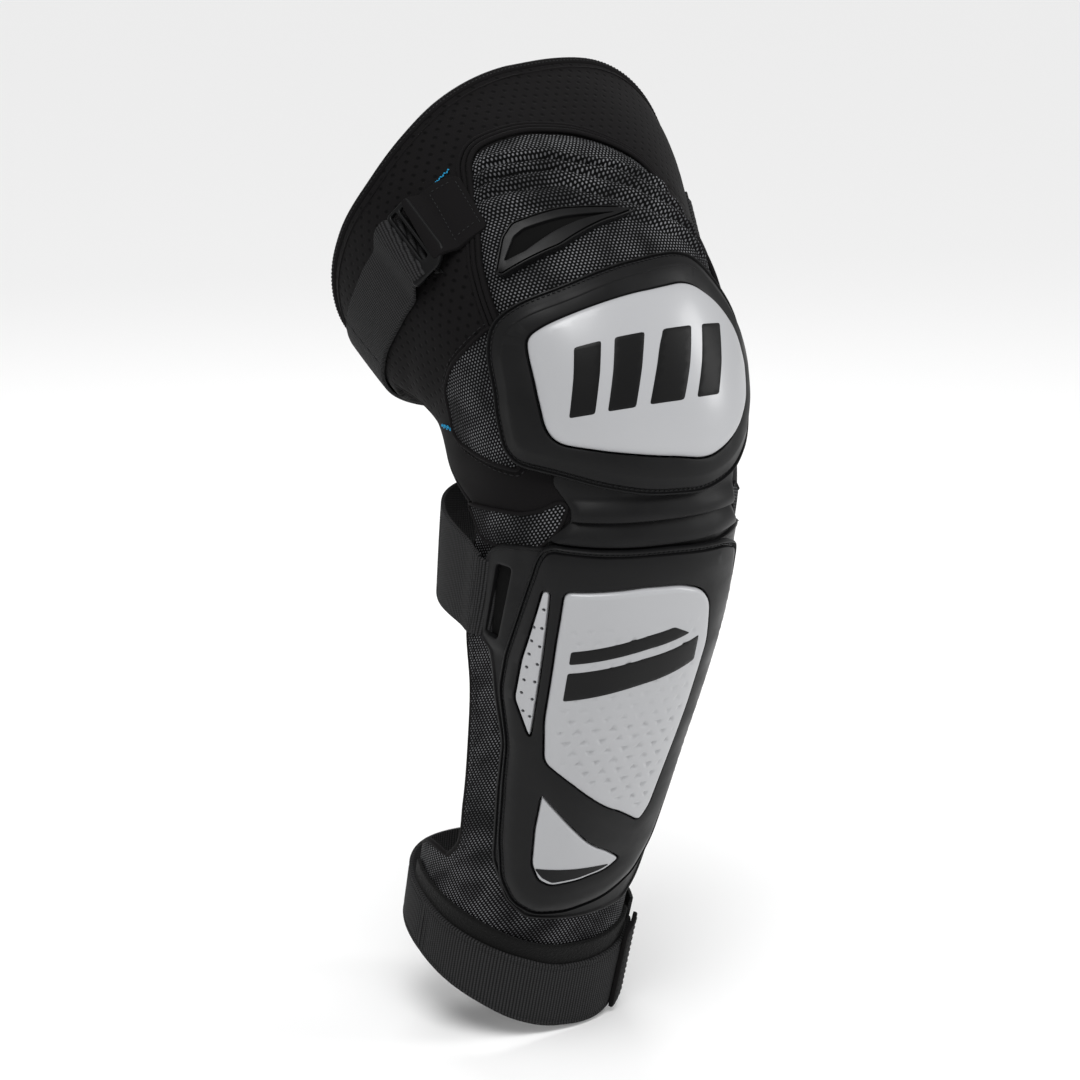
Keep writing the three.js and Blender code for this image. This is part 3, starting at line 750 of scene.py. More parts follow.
ride(plate("shin_carrier_shell", "rubber", [CARRIER, SLOT, SLOT_FAR], 0.7, carrier_face, grid=3.2,
           rings=(0.3, 0.8, 1.4, 2.2, 3.4), hole_rings=(0.3, 0.8, 2.0)), "shin", "shin_carrier")

# painted shade: a near-black sheet under each slot in the carrier stands in for the shade inside the slot
for name, slot_line in (("outer", SLOT), ("inner", SLOT_FAR)):
    ride(plate(f"slot_painted_shade_{name}", "painted_shade", [inset(slot_line, -1.2)], 0.4, 0.66, grid=4, rings=()),
         "shin")

# ---- shin: armour ----
MAIN_POCKET = rounded([(-37, -69), (-20, -66), (-6, -64), (6, -65), (16, -70), (22, -79), (27, -106),
    (26, -145), (22, -180), (19, -212), (14, -222), (-6, -203), (-21, -188), (-35, -176), (-38, -150),
    (-38, -100)], 5, step=2.0)
SIDE_POCKET = rounded([(-46, -71), (-42, -71), (-42, -162), (-44, -162), (-53, -141), (-52, -116)], 3,
                      step=2.0)
LOWER_POCKET = rounded([(-33, -197), (-22, -210), (-6, -230), (10, -246), (4, -253), (-6, -258),
    (-19, -261), (-26, -257), (-31, -246), (-33, -222)], 3.5, step=2.0)
FRAME_OUTER = rounded([(-46, -53), (0, -53), (30, -55), (43, -59), (47, -80), (50, -118), (50, -142),
    (45, -172), (43, -205), (37, -243), (26, -264), (10, -276), (-6, -283), (-24, -284), (-37, -277),
    (-46, -262), (-51, -236), (-54, -196), (-55, -173), (-62, -141), (-61, -118), (-55, -80), (-51, -58)],
    6, step=2.0)


def frame_face(low, high, rise):
    """Satin frame: a bead round the outside, a sewn groove inside it, then a face that rises inwards."""
    def height(phi, s, d, e):
        groove = ramp(e, 1.3, 1.8) * (1 - ramp(e, 3.1, 3.8))
        face = low + (high - low) * ramp(e, 3.2, rise)
        return face - 1.5 * groove + edge(e, 1.0, 1.6) + edge(d, 1.0, 0.8)
    return height


def sewn_groove(name, outline, depth, h, body):
    """Stitches that lie in the groove, depth mm inside a frame's outline."""
    ride(stitches(name, [closed(inset(outline, depth))], h, 1.7, 1.0, 0.42), body)


FRAME_RINGS = (0.3, 0.8, 1.3, 1.8, 3.1, 3.8, 6.0)
ride(plate("shin_bezel", "plastic", [FRAME_OUTER, MAIN_POCKET, SIDE_POCKET, LOWER_POCKET], FRAME_BACK,
           frame_face(6.6, 8.2, 9), grid=3.0, rings=FRAME_RINGS, hole_rings=(0.3, 0.9)), "shin", "shin_frame")
sewn_groove("shin_bezel_stitch", FRAME_OUTER, 2.45, 5.2, "shin")
SHELL_GAP = 0.8


def shin_top(phi, s):
    """The main shell's face without its dimples: crowned round the leg."""
    return 8.8 + 1.5 * (1 - np.clip((phi + 6) / 36, -1, 1) ** 2) - 0.5 * ramp(-s, 160, 220)


def tri_dimples(phi, s, pitch, size):
    """Three-cornered dimples in staggered rows, pointing up and down in turn; size is their inner radius."""
    x, y = table_value(ACROSS, phi, s), table_value(ALONG, phi, s)
    row = np.floor(y / (pitch * ROW_HEIGHT))
    column = np.floor(x / pitch + 0.5 * (row % 2))
    dx = x - (column + 0.5 - 0.5 * (row % 2)) * pitch
    dy = (y - (row + 0.5) * pitch * ROW_HEIGHT) * np.where((row + column) % 2 == 0, 1, -1)
    slant = 0.866 * dx  # a triangle's other two sides stand at 60 degrees
    reach = np.max([-dy, 0.5 * dy + slant, 0.5 * dy - slant], axis=0)
    return 1 - ramp(reach, size * 0.3, size)


def shin_shell_face(phi, s, d, e):
    """The main shell with its dimples, deep below the mark and faint above it."""
    zone = ramp(e, 5, 8) * np.maximum(ramp(-s, 140, 146), 0.45 * ramp(-s, 84, 92))
    return shin_top(phi, s) + edge(e, 2.4, 1.9) - 1.0 * zone * tri_dimples(phi, s, 8.2, 1.6)


ride(plate("shin_plate", "white", [inset(MAIN_POCKET, SHELL_GAP)], SHELL_BACK, shin_shell_face, grid=0.95,
           rings=(0.3, 0.8, 1.5, 2.4), sharp=50), "shin", "shin_shell")


def insert_top(phi, s, d, e):
    """The outer face of the two small shells."""
    return 8.3 + edge(e, 1.5, 1.3)


HOLE_SPOTS = [(-44.2, -82 - 11.2 * k) for k in range(7)]
HOLE_SPOTS += [(-47.6 - 0.36 * k, -94 - 8.4 * k) for k in range(6)]
HOLES = [circle(phi, s, 0.95) for phi, s in HOLE_SPOTS + [(-47.6, -147)]]
ride(plate("shin_side_plate", "white", [inset(SIDE_POCKET, SHELL_GAP)] + HOLES, SHELL_BACK,
           lambda phi, s, d, e: insert_top(phi, s, d, e) + edge(d, 0.35, 0.3), grid=2.5, rings=(0.4, 1.0),
           hole_rings=(0.35,)), "shin", "shin_side_insert")
STRIP = rounded([(-28.5, -248.5), (4.5, -248.5), (0, -252), (-7, -255.2), (-18.5, -257.8), (-24, -254.5)],
                1.5, step=1.5)
ride(plate("shin_lower_plate", "white", [inset(LOWER_POCKET, SHELL_GAP)], SHELL_BACK, insert_top, grid=2.5,
           rings=(0.4, 1.0, 1.6)), "shin", "shin_lower_insert")
ride(plate("shin_lower_inlay", "mark", [STRIP], 7.6, 8.62, grid=2.5, rings=(0.3,)), "shin",
     "lower_insert_strip")


def marks(name, blocks, top, body, stretch=1.0):
    """Flat printed blocks lying just proud of a shell."""
    for k, block in enumerate(blocks):
        ride(plate(f"{name}_{k + 1}", "mark", [rounded(block, 1.2, stretch, 1.6)],
                   lambda phi, s, d, e: top(phi, s) - 0.6,
                   lambda phi, s, d, e: top(phi, s) + 0.16 + edge(e, 0.3, 0.12),
                   grid=2.2, rings=(0.3,), stretch=stretch), body)


marks("shin_mark", [[(-31, -134), (-31, -116), (18, -98), (19, -114)], [(-31, -110.5), (-31, -102.5),
    (5, -88.5), (12.5, -94.5)],], shin_top, "shin")

# ---- knee armour ----
KNEE_OUTER = rounded([(-52, 25), (-42, 27), (-24, 28), (-8, 31), (5, 34), (18, 36), (27, 35), (38, 27),
    (52, 18), (59, 6), (58, -12), (48, -25), (34, -33), (24, -36), (12, -38), (-6, -37), (-24, -34),
    (-42, -30), (-60, -27), (-66, -21), (-67, -8), (-63, 13), (-58, 21)], 8, KNEE_STRETCH, 2.0)
KNEE_POCKET = rounded([(-43, 15), (-36, 17), (-21, 19), (-8, 21), (4, 23), (16, 25), (28, 19), (39, 10),
    (43, 0), (41, -11), (32, -20), (23, -25), (13, -28), (0, -26), (-22, -23), (-40, -20), (-45, -15),
    (-46, -2), (-45, 10)], 7, KNEE_STRETCH, 2.0)


def knee_top(phi, s):
    """The knee shell's domed face."""
    dome = np.clip(1 - ((phi + 1) / 46) ** 2, 0, None) * np.clip(1 - (s / 30) ** 2, 0, None)
    return 8.6 + 5.0 * dome


def knee_frame_face(phi, s, d, e):
    """The bead and sewn groove, then a face that climbs to the shell, with a crease across its brow."""
    return frame_face(6.0, 8.4, 12)(phi, s, d, e) - 0.6 * np.exp(-((e - 9) / 0.9) ** 2) * ramp(s, 10, 16)


ride(plate("knee_bezel", "rubber", [KNEE_OUTER, KNEE_POCKET], FRAME_BACK, knee_frame_face, grid=2.8,
           rings=FRAME_RINGS + (8.0, 9.0, 10.0), hole_rings=(0.3, 0.9), stretch=KNEE_STRETCH),
     "knee_cup", "knee_frame")
sewn_groove("knee_bezel_stitch", KNEE_OUTER, 2.45, 4.7, "knee_cup")
ride(plate("knee_plate", "white", [inset(KNEE_POCKET, SHELL_GAP)], SHELL_BACK,
           lambda phi, s, d, e: knee_top(phi, s) + edge(e, 2.8, 2.4), grid=2.6, rings=(0.3, 0.8, 1.6, 2.8),
           stretch=KNEE_STRETCH, sharp=50), "knee_cup", "knee_shell")
BLOCK = np.array([(-34, -12.0), (-27, 8.0), (-17.5, 8.6), (-24.5, -11.6)])
BLOCK_STEP = np.array([(14, 0.7), (14, 0.9), (14, 0.9), (14, 0.7)])
marks("knee_mark", [BLOCK + BLOCK_STEP * k for k in range(4)], knee_top, "knee_cup", KNEE_STRETCH)
pad("knee_pad", [(-54, 20), (-24, 24), (14, 28), (50, 16), (52, -12), (34, -28), (10, -33), (-24, -30),
    (-56, -22)], 5.0, (-12, 8), KNEE_STRETCH, "knee_cup", "knee_foam")

# ---- gaiter and knee sides ----
GAITER = rounded([(-50, -57), (-49.5, -54), (-37, -45), (-37, -41), (-45, -33), (-44, -29), (-10, -32),
    (20, -31), (42, -26), (39, -40), (39, -45), (48, -54), (48, -58), (0, -59)], 2.5, KNEE_STRETCH, 2.0)


def gaiter_face(phi, s, d, e):
    """Two moulded ribs, lapped like shingles between the knee frame and the shin frame."""
    def lap(low, high):
        share = np.clip((s - low) / (high - low), 0, 1)
        return np.sin(np.pi * share ** 0.55) ** 0.7
    ends = 0.25 + 0.75 * ramp(d, 0, 5)
    ribs = 3.6 * lap(-45.2, -38.0) + 3.4 * lap(-53.0, -45.6)
    return 1.4 + ribs * ends + edge(d, 1.2, 1.0)


bend(plate("knee_gaiter", "rubber", [GAITER], -2.6, gaiter_face, grid=1.9, rings=(0.5, 1.2),
           stretch=KNEE_STRETCH), ("shin", "knee_cup"), (0, -51), (0, -38), "gaiter_lower_rib",
     "gaiter_upper_rib")

SIDE_LOW = [(-50, 2), (-50, -20), (-34, -26), (-28, -36), (-27, -46), (-31, -54), (-62, -57), (-84, -55),
    (-90, -52), (-104, -44), (-112, -36), (-117, -22), (-118, -6), (-117.5, 2)]
SIDE_HIGH = [(-50, -1), (-117.5, -1), (-118, 10), (-119, 28), (-121, 46), (-122, 62), (-100, 58),
    (-75, 58), (-50, 66), (-38, 74), (-35.5, 60), (-40.5, 46), (-46, 24)]
WINDOW = [(-55, 24), (-71, 21), (-84, 18.5), (-91, 14), (-95, 4), (-97, -11), (-94, -18), (-87, -23),
    (-74, -27), (-60, -29)]
LOW_WINDOW = [(-82, -64), (-86, -60), (-91.5, -52), (-84, -49.5), (-73, -47), (-60, -45.5), (-51, -43),
    (-42, -39), (-38, -40), (-42, -48), (-48, -54), (-58, -60), (-71, -62)]


def side_face(phi, s, d, e):
    """Stretched side fabric, with soft pulls fanning from the knee."""
    return 0.2 + 0.5 * np.sin(s / 5 + np.abs(phi) / 12) * ramp(d, 3, 14) + edge(d, 2.0, 1.4)


for side, turn in (("outer", list), ("inner", mirror)):
    phi = -80 if side == "outer" else 80
    low_bend = ("shin", "knee_cup"), (phi, -46), (phi, -20)
    high_bend = ("knee_cup", "thigh"), (phi, 22), (phi, 52)
    low = rounded(turn(SIDE_LOW), 4, SIDE_STRETCH, 2.6)
    high = rounded(turn(SIDE_HIGH), 4, SIDE_STRETCH, 2.6)
    bend(plate(f"knee_side_low_{side}", "neoprene", [low], -2.9, side_face, grid=3.4, stretch=SIDE_STRETCH),
         *low_bend, f"knee_side_{side}")
    bend(plate(f"knee_side_high_{side}", "dimpled", [high], -2.8,
               lambda phi, s, d, e: side_face(phi, s, d, e) + 0.08, grid=3.4, stretch=SIDE_STRETCH),
         *high_bend)
    window = rounded(turn(WINDOW), 5, SIDE_STRETCH, 2.2)
    ride(plate(f"knee_window_{side}", "mesh", [window], 0.3,
               lambda phi, s, d, e: 1.5 + 0.9 * ramp(d, 2, 12) + edge(d, 1.2, 0.9), grid=3.2,
               stretch=SIDE_STRETCH), "knee_cup", f"knee_mesh_{side}")
    ride(tube(f"knee_window_cord_{side}", "neoprene", inset(window, -0.4), 1.15, 1.3, ring=True), "knee_cup")
    ride(stitches(f"knee_window_stitch_{side}", [closed(inset(window, -3.6))], 0.75), "knee_cup")
    low_window = rounded(turn(LOW_WINDOW), 3, SIDE_STRETCH, 2.0)
    bend(plate(f"shin_window_{side}", "mesh", [low_window], 0.2, rounded_face(1.5, 1.2, 0.8), grid=3.0,
               stretch=SIDE_STRETCH), *low_bend)
    bend(tube(f"shin_window_cord_{side}", "neoprene", inset(low_window, -0.3), 1.0, 1.1, ring=True),
         *low_bend)
    rear_low = resample(turn([(-92, -52)] + SIDE_LOW[-5:-1] + [(-117.5, 3)]), 2.2)
    bend(tube(f"knee_rear_edge_low_{side}", "neoprene", rear_low, 1.9, -1.4, flat=0.85), *low_bend)
    rear_high = resample(turn([(-117.5, 2)] + SIDE_HIGH[2:5] + [(-122, 60)]), 2.2)
    bend(tube(f"knee_rear_edge_high_{side}", "neoprene", rear_high, 1.9, -1.4, flat=0.85), *high_bend)

# ---- folded mesh front, from the knee frame to the cuff ----
FOLD_LINE = ([-50, -33, -7, 13, 29, 46], [69, 66, 60, 52, 45.5, 40])  # phi, s of the lowest crease
FOLD_PITCH = ([-50, 0, 30, 46], [10.5, 8.0, 6.2, 5.6])  # phi, mm of s between creases
FOLD_RISE = ([-50, -30, -5, 20, 46], [1.8, 4.4, 6.2, 6.0, 3.6])  # phi, height of the folds
PANEL_BEND = ("knee_cup", "thigh"), (-6, 54), (-6, 80)
PANEL = rounded([(-51, 21), (-51, 31), (-48, 43), (-41, 56), (-33, 79), (-28, 95), (-16, 100), (-6.5, 101),
    (2, 98.5), (11.6, 92), (23, 81.5), (30, 70), (35, 58), (41, 45), (47, 31), (47, 19), (38, 23),
    (27, 31), (18, 32), (5, 30), (-8, 27), (-24, 24), (-42, 23)], 5, PANEL_STRETCH, 2.4)


def panel_base(phi, s):
    """Crown of the padded mesh without its folds."""
    return 2.6 + 1.6 * ramp(s, 36, 50) * (1 - ramp(s, 84, 98))


def panel_folds(phi, s):
    """Height of the gathered folds, which die out above and below."""
    u = (s - np.interp(phi, *FOLD_LINE)) / np.interp(phi, *FOLD_PITCH)
    u = u + 0.10 * np.sin(phi / 6.0) + 0.06 * np.sin(phi / 2.7 + 1)
    run = ramp(u, -1.15, -0.6) * (1 - ramp(u, 2.5, 3.2))
    return np.interp(phi, *FOLD_RISE) * run * (np.abs(np.sin(np.pi * u)) ** 0.7 - 0.45)


def panel_face(phi, s, d, e):
    """The folded mesh, which flattens to its edge and where it tucks under the knee frame."""
    tuck = ramp(s - np.interp(phi, [-52, -24, 5, 20, 47], [26, 28, 33, 35, 22]), -3, 4)
    height = panel_base(phi, s) + panel_folds(phi, s)
    return height * (0.35 + 0.65 * ramp(d, 0, 9)) * (0.6 + 0.4 * tuck) + edge(d, 1.5, 1.2)


panel = plate("front_panel", "mesh", [PANEL], -2.6, panel_face, grid=1.7, rings=(0.5, 1.2, 2.4, 4.0),
              stretch=PANEL_STRETCH, sharp=180)
bend(panel, *PANEL_BEND, "brow_pad", "thigh_mesh_panel")
PANEL_SIDE = [(-52.5, 24), (-51.5, 32), (-48, 44), (-41.5, 56), (-33.5, 79), (-29.5, 92), (-26, 97.5),
    (-16, 101.5), (-6.5, 102.5), (2.5, 100), (12, 93.5), (24, 82.5), (31, 70), (36, 58), (42, 45.5),
    (48, 32), (48.5, 20)]
for k, out in enumerate((0.4, 3.4, 6.2)):
    line = resample(PANEL_SIDE, 2.0)
    scale = np.stack(leg_frame(line[:, 0], line[:, 1])[3:], -1)
    step = unit(np.gradient(line, axis=0) * scale)
    line = line + np.stack([-step[:, 1], step[:, 0]], -1) * out / scale
    bend(tube(f"panel_cord_{k + 1}", "neoprene", line, 1.5 - 0.2 * k, 1.3 - 0.4 * k, flat=0.9), *PANEL_BEND)

VENT = rounded([(-44, 38.0), (-35.5, 48.0), (-30, 51.4), (-13, 52.2), (8, 50.2), (8.5, 48.8), (-3, 44.8),
    (-18, 39.4), (-42, 36.0)], 2.0, PANEL_STRETCH, 1.2)
RECESS = rounded([(-38.6, 40.2), (-31.5, 46.6), (-27, 48.0), (-13, 48.7), (1.5, 48.3), (-9, 46.7),
    (-18, 44.6), (-30, 41.0)], 1.0, PANEL_STRETCH, 1.0)


def vent_face(phi, s, d, e):
    """A thin bead, a fine groove, then flat bars round the recess."""
    groove = ramp(e, 0.8, 1.05) * (1 - ramp(e, 1.45, 1.7))
    return 7.2 - 1.3 * groove + edge(e, 0.5, 0.7) + edge(d, 0.5, 0.5)


VENT_RINGS = (0.25, 0.5, 0.8, 1.05, 1.45, 1.7)
ride(plate("brow_vent_bezel", "plastic", [VENT, RECESS], -2.4, vent_face, grid=1.6, rings=VENT_RINGS,
           hole_rings=(0.25, 0.5), stretch=PANEL_STRETCH), "knee_cup", "brow_vent")
# the vent's core, coloured near-black, deeper than the frame plastic, as painted shade in the recess
ride(plate("brow_vent_floor", "painted_shade", [inset(RECESS, -0.4)], -2.0, 5.2, grid=3, rings=(),
           stretch=PANEL_STRETCH), "knee_cup", "brow_vent_core")

# ---- thigh: cuff, rim, pad ----
RIM = [(-180, 126), (-150, 121), (-120, 119), (-98, 121), (-63, 119), (-45, 126), (-27, 137), (-7, 149),
    (13, 160), (30, 166), (45, 165), (63, 156), (90, 141), (120, 131), (150, 127), (180, 126)]
CUFF_LOWER = [(-180, 80), (-150, 76), (-120, 56), (-90, 48), (-60, 54), (-30, 78), (0, 82), (30, 78),
    (60, 54), (90, 48), (120, 56), (150, 76), (180, 80)]


def cuff_face(phi, s, d, e):
    """The cuff's neoprene, with shallow vertical pulls."""
    unseamed = ramp(179.0 - np.abs(phi), 0.2, 1)
    return 0.35 * np.sin(phi / 7 + s / 26) * ramp(d, 4, 20) + edge(d, 2.0, 1.2) * unseamed


ride(plate("thigh_cuff", "dimpled", [band(CUFF_LOWER, RIM, -179.7, 179.7, 3.5)], CLOTH_BACK, cuff_face,
           grid=5, rings=(0.8, 2.0)), "thigh", "thigh_cuff_outer", "thigh_cuff_inner")
seam = band(moved(CUFF_LOWER, 360, 0)[:3], moved(RIM, 360, 0)[:3], 180.5, 186.5)
ride(plate("thigh_cuff_seam", "elastic", [seam], 0.3, rounded_face(1.2), grid=3, rings=(0.5,)), "thigh")
rim_line = edge_line(RIM, -180, 178, 2.6)
ride(tube("rim_binding", "neoprene", moved(rim_line, 0, 2.0), 2.6, -1.5, sides=14, flat=0.95, ring=True),
     "thigh", "rim_binding_outer", "rim_binding_inner")
ride(stitches("rim_stitch", [moved(rim_line, 0, 0.9), moved(rim_line, 0, 2.6)], 0.78, 1.5, 1.1, 0.3), "thigh")
ride(tube("rim_line", "neoprene", moved(rim_line, 0, -4.6), 0.6, 0.05, sides=6, ring=True), "thigh")
pad("thigh_pad", [(-34, 84), (-26, 118), (30, 124), (34, 84)], 6.0, (104,), 1.1, "thigh", "thigh_foam")

# ---- straps ----
STRAP_LOWER = [(-290, 66), (-250, 72), (-180, 84), (-150, 80), (-120, 68), (-92, 54), (-73, 51), (-60, 51)]
STRAP_UPPER = [(-290, 104), (-250, 110), (-180, 122), (-150, 118), (-120, 106), (-92, 94), (-73, 87.5),
               (-60, 86)]
MID_LOWER = [(-292, -119), (-250, -128), (-180, -133), (-112, -131), (-95, -126), (-80, -121), (-60, -114)]
MID_UPPER = [(-292, -73), (-250, -76), (-180, -83), (-112, -75), (-95, -72), (-80, -71), (-60, -71)]
ANKLE_UPPER = [(-312, -309), (-180, -314), (-120, -309), (-81, -309), (-50, -311), (-25, -316), (0, -323),
    (20, -323), (60, -318)]
ANKLE_LOWER = [(-312, -349), (-180, -350), (-120, -344), (-74, -345), (-44, -351), (-22, -359), (0, -366),
    (20, -369), (60, -364)]
UPPER, MIDDLE, ANKLE = (STRAP_LOWER, STRAP_UPPER), (MID_LOWER, MID_UPPER), (ANKLE_LOWER, ANKLE_UPPER)
ANKLE_RINGS = (0.5, 1.2, 2.6, 3.4, 4.2)


def strap(name, edges, a, b, low, high, rings=(0.5, 1.2)):
    """Elastic webbing between two edges, from phi a to phi b."""
    return plate(name, "elastic", [band(*edges, a, b)], low, high, grid=3.2, rings=rings)


def sewn_down(end):
    """Faces of a patch over a strap's end: it lies on the strap, and past phi end on the cloth beside it."""
    return (lambda phi, s, d, e: 0.4 + 2.8 * ramp(phi, end, end + 1.4),
            lambda phi, s, d, e: 2.0 + 2.6 * ramp(phi, end - 1.6, end + 1.4) + edge(e, 0.9, 0.7))


def wrap_bar(start, crest, end, low, high):
    """Strap face that climbs over a bar between phi start and crest, then dives in by phi end."""
    def height(phi, s, d, e):
        climb = (high - low) * ramp(phi, start, crest)
        dive = (high - low + 1.2) * ramp(phi, crest + 1.5, end) ** 1.5
        return low + climb - dive + edge(e, 0.9, 0.7)
    return height


ride(strap("upper_strap_back", UPPER, -284, -111.8, 1.2, rounded_face(3.1, 1.0, 0.8)),
     "thigh", "upper_strap")
hook_wrap = wrap_bar(-82, -69.5, -62.4, 3.1, 12.0)
bend(strap("upper_strap_front", UPPER, -112, -62.8, under(hook_wrap, 1.8), hook_wrap),
     ("thigh", "upper_strap_end"), (-110, 77), (-102, 74), "upper_strap_end")
ride(strap("upper_strap_patch", UPPER, -290, -270, *sewn_down(-285.6)),
     "thigh", "upper_strap_anchor")
ride(strap("mid_strap_back", MIDDLE, -276, -113.8, 1.2, rounded_face(3.1, 1.0, 0.8)), "shin", "mid_strap")
bend(strap("mid_strap_front", MIDDLE, -114, -79.0,
           lambda phi, s, d, e: 1.2 + 2.4 * ramp(phi, -90, -81),
           lambda phi, s, d, e: 3.1 + 2.5 * ramp(phi, -90, -81) + edge(e, 0.9, 0.7)),
     ("shin", "mid_strap_end"), (-112, -102), (-104, -102), "mid_strap_end")
ride(strap("mid_strap_patch", MIDDLE, -284, -262, *sewn_down(-277.6)), "shin",
     "mid_strap_anchor")
slot_wrap = wrap_bar(-90, -80, -71.6, 3.1, 6.2)
ride(strap("mid_strap_bar", (moved(MID_LOWER, 0, 1.5), moved(MID_UPPER, 0, -1.0)), -80.5, -71.2,
           under(slot_wrap, 1.6), slot_wrap), "shin", "mid_strap_loop")
loop_edges = ([(-116, -330), (-60, -338), (0, -346), (56, -344)], [(-116, -301), (-60, -299), (0, -311),
    (56, -310)])
ride(plate("ankle_loop", "pile", [band(*loop_edges, -114, 56)], 0.4, rounded_face(2.6), grid=4), "shin",
     "ankle_loop_band")


def ankle_face(phi, s, d, e):
    """Wide elastic with a woven line inside each of its edges."""
    return 5.8 - 0.5 * np.exp(-((e - 3.4) / 0.7) ** 2) + edge(e, 1.2, 1.0)


ride(strap("ankle_strap_back", ANKLE, -296, -89.8, 3.8, ankle_face, ANKLE_RINGS), "shin", "ankle_strap")
bend(strap("ankle_strap_face", ANKLE, -90, 58, 3.8, ankle_face, ANKLE_RINGS), ("shin", "ankle_strap_front"),
     (-88, -327), (-80, -327), "ankle_strap_front")

HOOK_PHI, HOOK_S, HOOK_LIFT = -61, 70, 5.6


def hook_plane(u, v, h):
    """A flat plane square to the leg at the buckle: u is across in MM_PER_DEGREE, v up and h out in mm."""
    middle = leg(HOOK_PHI, HOOK_S, HOOK_LIFT)
    up = unit(leg(HOOK_PHI, HOOK_S + 5, HOOK_LIFT) - middle)
    out = unit(np.cross(unit(leg(HOOK_PHI + 3, HOOK_S, HOOK_LIFT) - middle), up))
    across = np.cross(up, out)
    u, v, h = np.broadcast_arrays(*(np.asarray(x, float) for x in (u, v, h)))
    return middle + u[..., None] * MM_PER_DEGREE * across + v[..., None] * up + h[..., None] * out


def hook_outline(points, radius):
    """A rounded outline on the hook's plane from corners in mm."""
    return rounded([(x / MM_PER_DEGREE, y) for x, y in points], radius, step=1.2)


ride(plate("upper_hook", "plastic", [hook_outline([(-17, -20), (-17, -25), (0, -26), (8.5, -20),
    (8.5, 18.8), (-7.5, 18.8), (-7.5, -19.8)], 2.8), hook_outline([(-5.0, -17), (-1.2, -17), (-1.2, 17),
    (-5.0, 17)], 1.2), hook_outline([(1.0, -16.5), (4.8, -16.5), (4.8, 16.0), (1.0, 16.0)], 1.2),],
    lambda u, v, d, e: -edge(d, 0.7, 0.6), rounded_face(3.2, 1.1, 1.1), grid=1.6, rings=(0.3, 0.7, 1.1),
    hole_rings=(0.3, 0.7), surface=hook_plane), "hook", "upper_strap_hook")
TAB = rounded([(-60.8, 52.5), (-37, 55), (-36, 86), (-44, 89.5), (-58.2, 88)], 2.5, step=2.0)


def tab_face(phi, s, d, e):
    """The tab lies on the cuff and climbs over the hook's inner bar."""
    return 3.4 + 6.2 * (1 - ramp(phi, -57.5, -50.5)) + edge(e, 0.9, 0.8)


ride(plate("hook_tab_cloth", "neoprene", [TAB], under(tab_face, 2.0), tab_face, grid=2.2), "thigh",
     "hook_tab")
tab_rows = [resample([(-50.5, 56), (-49.2, 70), (-48.4, 86)]), resample([(-39, 57), (-38.4, 70),
    (-38, 85)]), resample([(-49, 57.5), (-39, 58.5)]), resample([(-48, 85), (-38.5, 84)])]
ride(stitches("hook_tab_stitch", tab_rows, 3.5, 1.6, 1.2, 0.35), "thigh")
zigzag = [(-45 + k, 90.0 + (1.3 if k % 2 else 0) + 0.4 * k) for k in range(9)]
ride(stitches("blue_zigzag", [zigzag], 0.5, 1.5, 0.3, 0.42, "blue_thread"), "thigh")
bar_tack = [(-108 + 1.4 * k, -7.0 - 0.6 * k + (2.8 if k % 2 else 0)) for k in range(8)]
ride(stitches("blue_bar_tack", [bar_tack], 1.1, 1.8, 0.3, 0.45, "blue_thread"), "knee_cup")
ANKLE_TAB = rounded([(36, -369.5), (57, -365.5), (58, -318), (54, -311), (37, -315)], 3, step=2.0)
ride(plate("ankle_tab_grip", "neoprene", [ANKLE_TAB], 6.2, rounded_face(8.6, 1.2, 1.0), grid=3),
     "ankle_strap_front", "ankle_tab")
ride(stitches("ankle_tab_stitch", [closed(inset(ANKLE_TAB, 2.6))], 8.7), "ankle_strap_front")

# ---- floor, light and camera ----
FLOOR_SIZE, FLOOR_GAP = 80, 2 * MM
bpy.ops.mesh.primitive_plane_add(size=FLOOR_SIZE, location=(0, 0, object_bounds()[0].z - FLOOR_GAP))
floor = bpy.context.object
floor.name = "floor"
floor.data.materials.append(new_material("pale_floor", (0.92, 0.92, 0.92), 0.9)[0])
floor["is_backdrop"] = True

world = bpy.data.worlds.new("studio")
bpy.context.scene.world = world
world.use_nodes = True
AMBIENT, BACKDROP = 0.45, 0.93  # strength of the white world as light, and as the camera sees it
lit, seen = world.node_tree.nodes["Background"], world.node_tree.nodes.new("ShaderNodeBackground")
for backdrop, strength in ((lit, AMBIENT), (seen, BACKDROP)):
    backdrop.inputs["Color"].default_value = (1, 1, 1, 1)
    backdrop.inputs["Strength"].default_value = strength
direct = world.node_tree.nodes.new("ShaderNodeLightPath").outputs["Is Camera Ray"]
mixed = node(world.node_tree, "ShaderNodeMixShader", {0: direct, 1: lit.outputs[0], 2: seen.outputs[0]})
world.node_tree.links.new(mixed.outputs[0], world.node_tree.nodes["World Output"].inputs["Surface"])


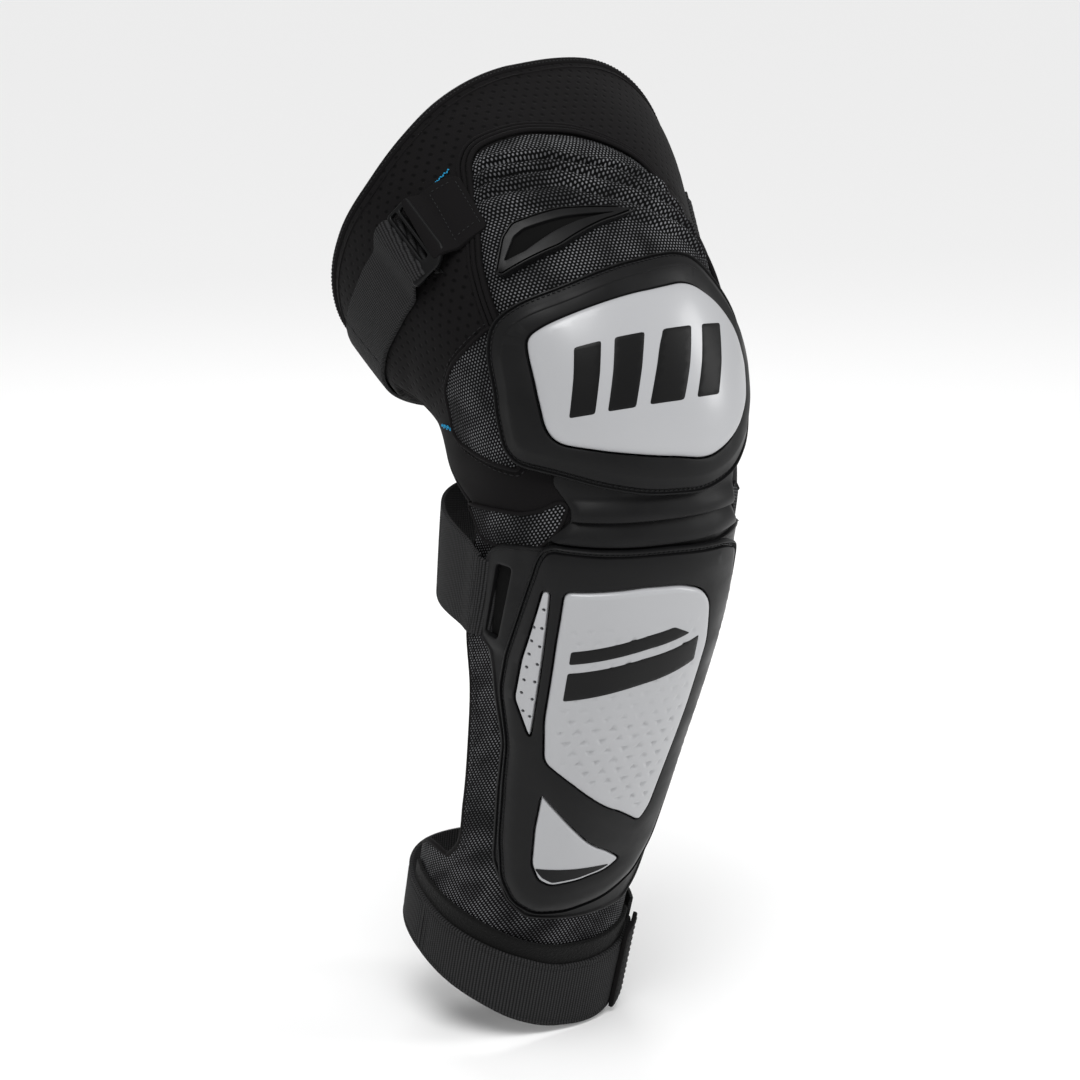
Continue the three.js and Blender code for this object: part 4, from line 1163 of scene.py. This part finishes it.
def softbox(name, place, target, size, power):
    """An area light: metres and watts."""
    light = bpy.data.lights.new(name, "AREA")
    light.shape, light.size, light.size_y, light.energy = "RECTANGLE", size[0], size[1], power
    obj = bpy.data.objects.new(name, light)
    bpy.context.scene.collection.objects.link(obj)
    obj.location = place
    obj.rotation_euler = (Vector(target) - Vector(place)).to_track_quat("-Z", "Y").to_euler()


softbox("key", (-1.1, -1.5, 1.9), (0, 0, -0.05), (0.9, 0.9), 11)
softbox("fill", (1.8, -1.0, 0.7), (0, 0, -0.1), (0.6, 1.4), 16)
softbox("rim", (0.4, 1.6, 1.4), (0, 0, 0), (1.0, 0.6), 10)
SUN_STRENGTH, SUN_ANGLE = 1.8, math.radians(40)
overhead = bpy.data.objects.new("overhead", bpy.data.lights.new("overhead", "SUN"))
overhead.data.energy, overhead.data.angle = SUN_STRENGTH, SUN_ANGLE
overhead.rotation_euler = Vector((-0.5, -0.9, 1.7)).to_track_quat("Z", "Y").to_euler()
bpy.context.scene.collection.objects.link(overhead)
bpy.context.scene.view_settings.view_transform = "Standard"

VIEW_AZIMUTH, VIEW_ELEVATION = math.radians(-29), math.radians(13)
VIEW_DISTANCE = 1.590
LENS, SENSOR = 100, 36  # mm
VIEW_OFFSET = (0.0265, 0.07685)  # metres that the knee's centre lies right of and above the view's centre
back = Vector((math.sin(VIEW_AZIMUTH) * math.cos(VIEW_ELEVATION),
               -math.cos(VIEW_AZIMUTH) * math.cos(VIEW_ELEVATION), math.sin(VIEW_ELEVATION)))
right = Vector((math.cos(VIEW_AZIMUTH), math.sin(VIEW_AZIMUTH), 0))
up = back.cross(right)
camera = bpy.data.objects.new("camera", bpy.data.cameras.new("camera"))
bpy.context.scene.collection.objects.link(camera)
camera.data.lens, camera.data.sensor_width = LENS, SENSOR
camera.location = back * VIEW_DISTANCE - right * VIEW_OFFSET[0] - up * VIEW_OFFSET[1]
camera.rotation_euler = back.to_track_quat("Z", "Y").to_euler()
bpy.context.scene.camera = camera

low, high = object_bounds()
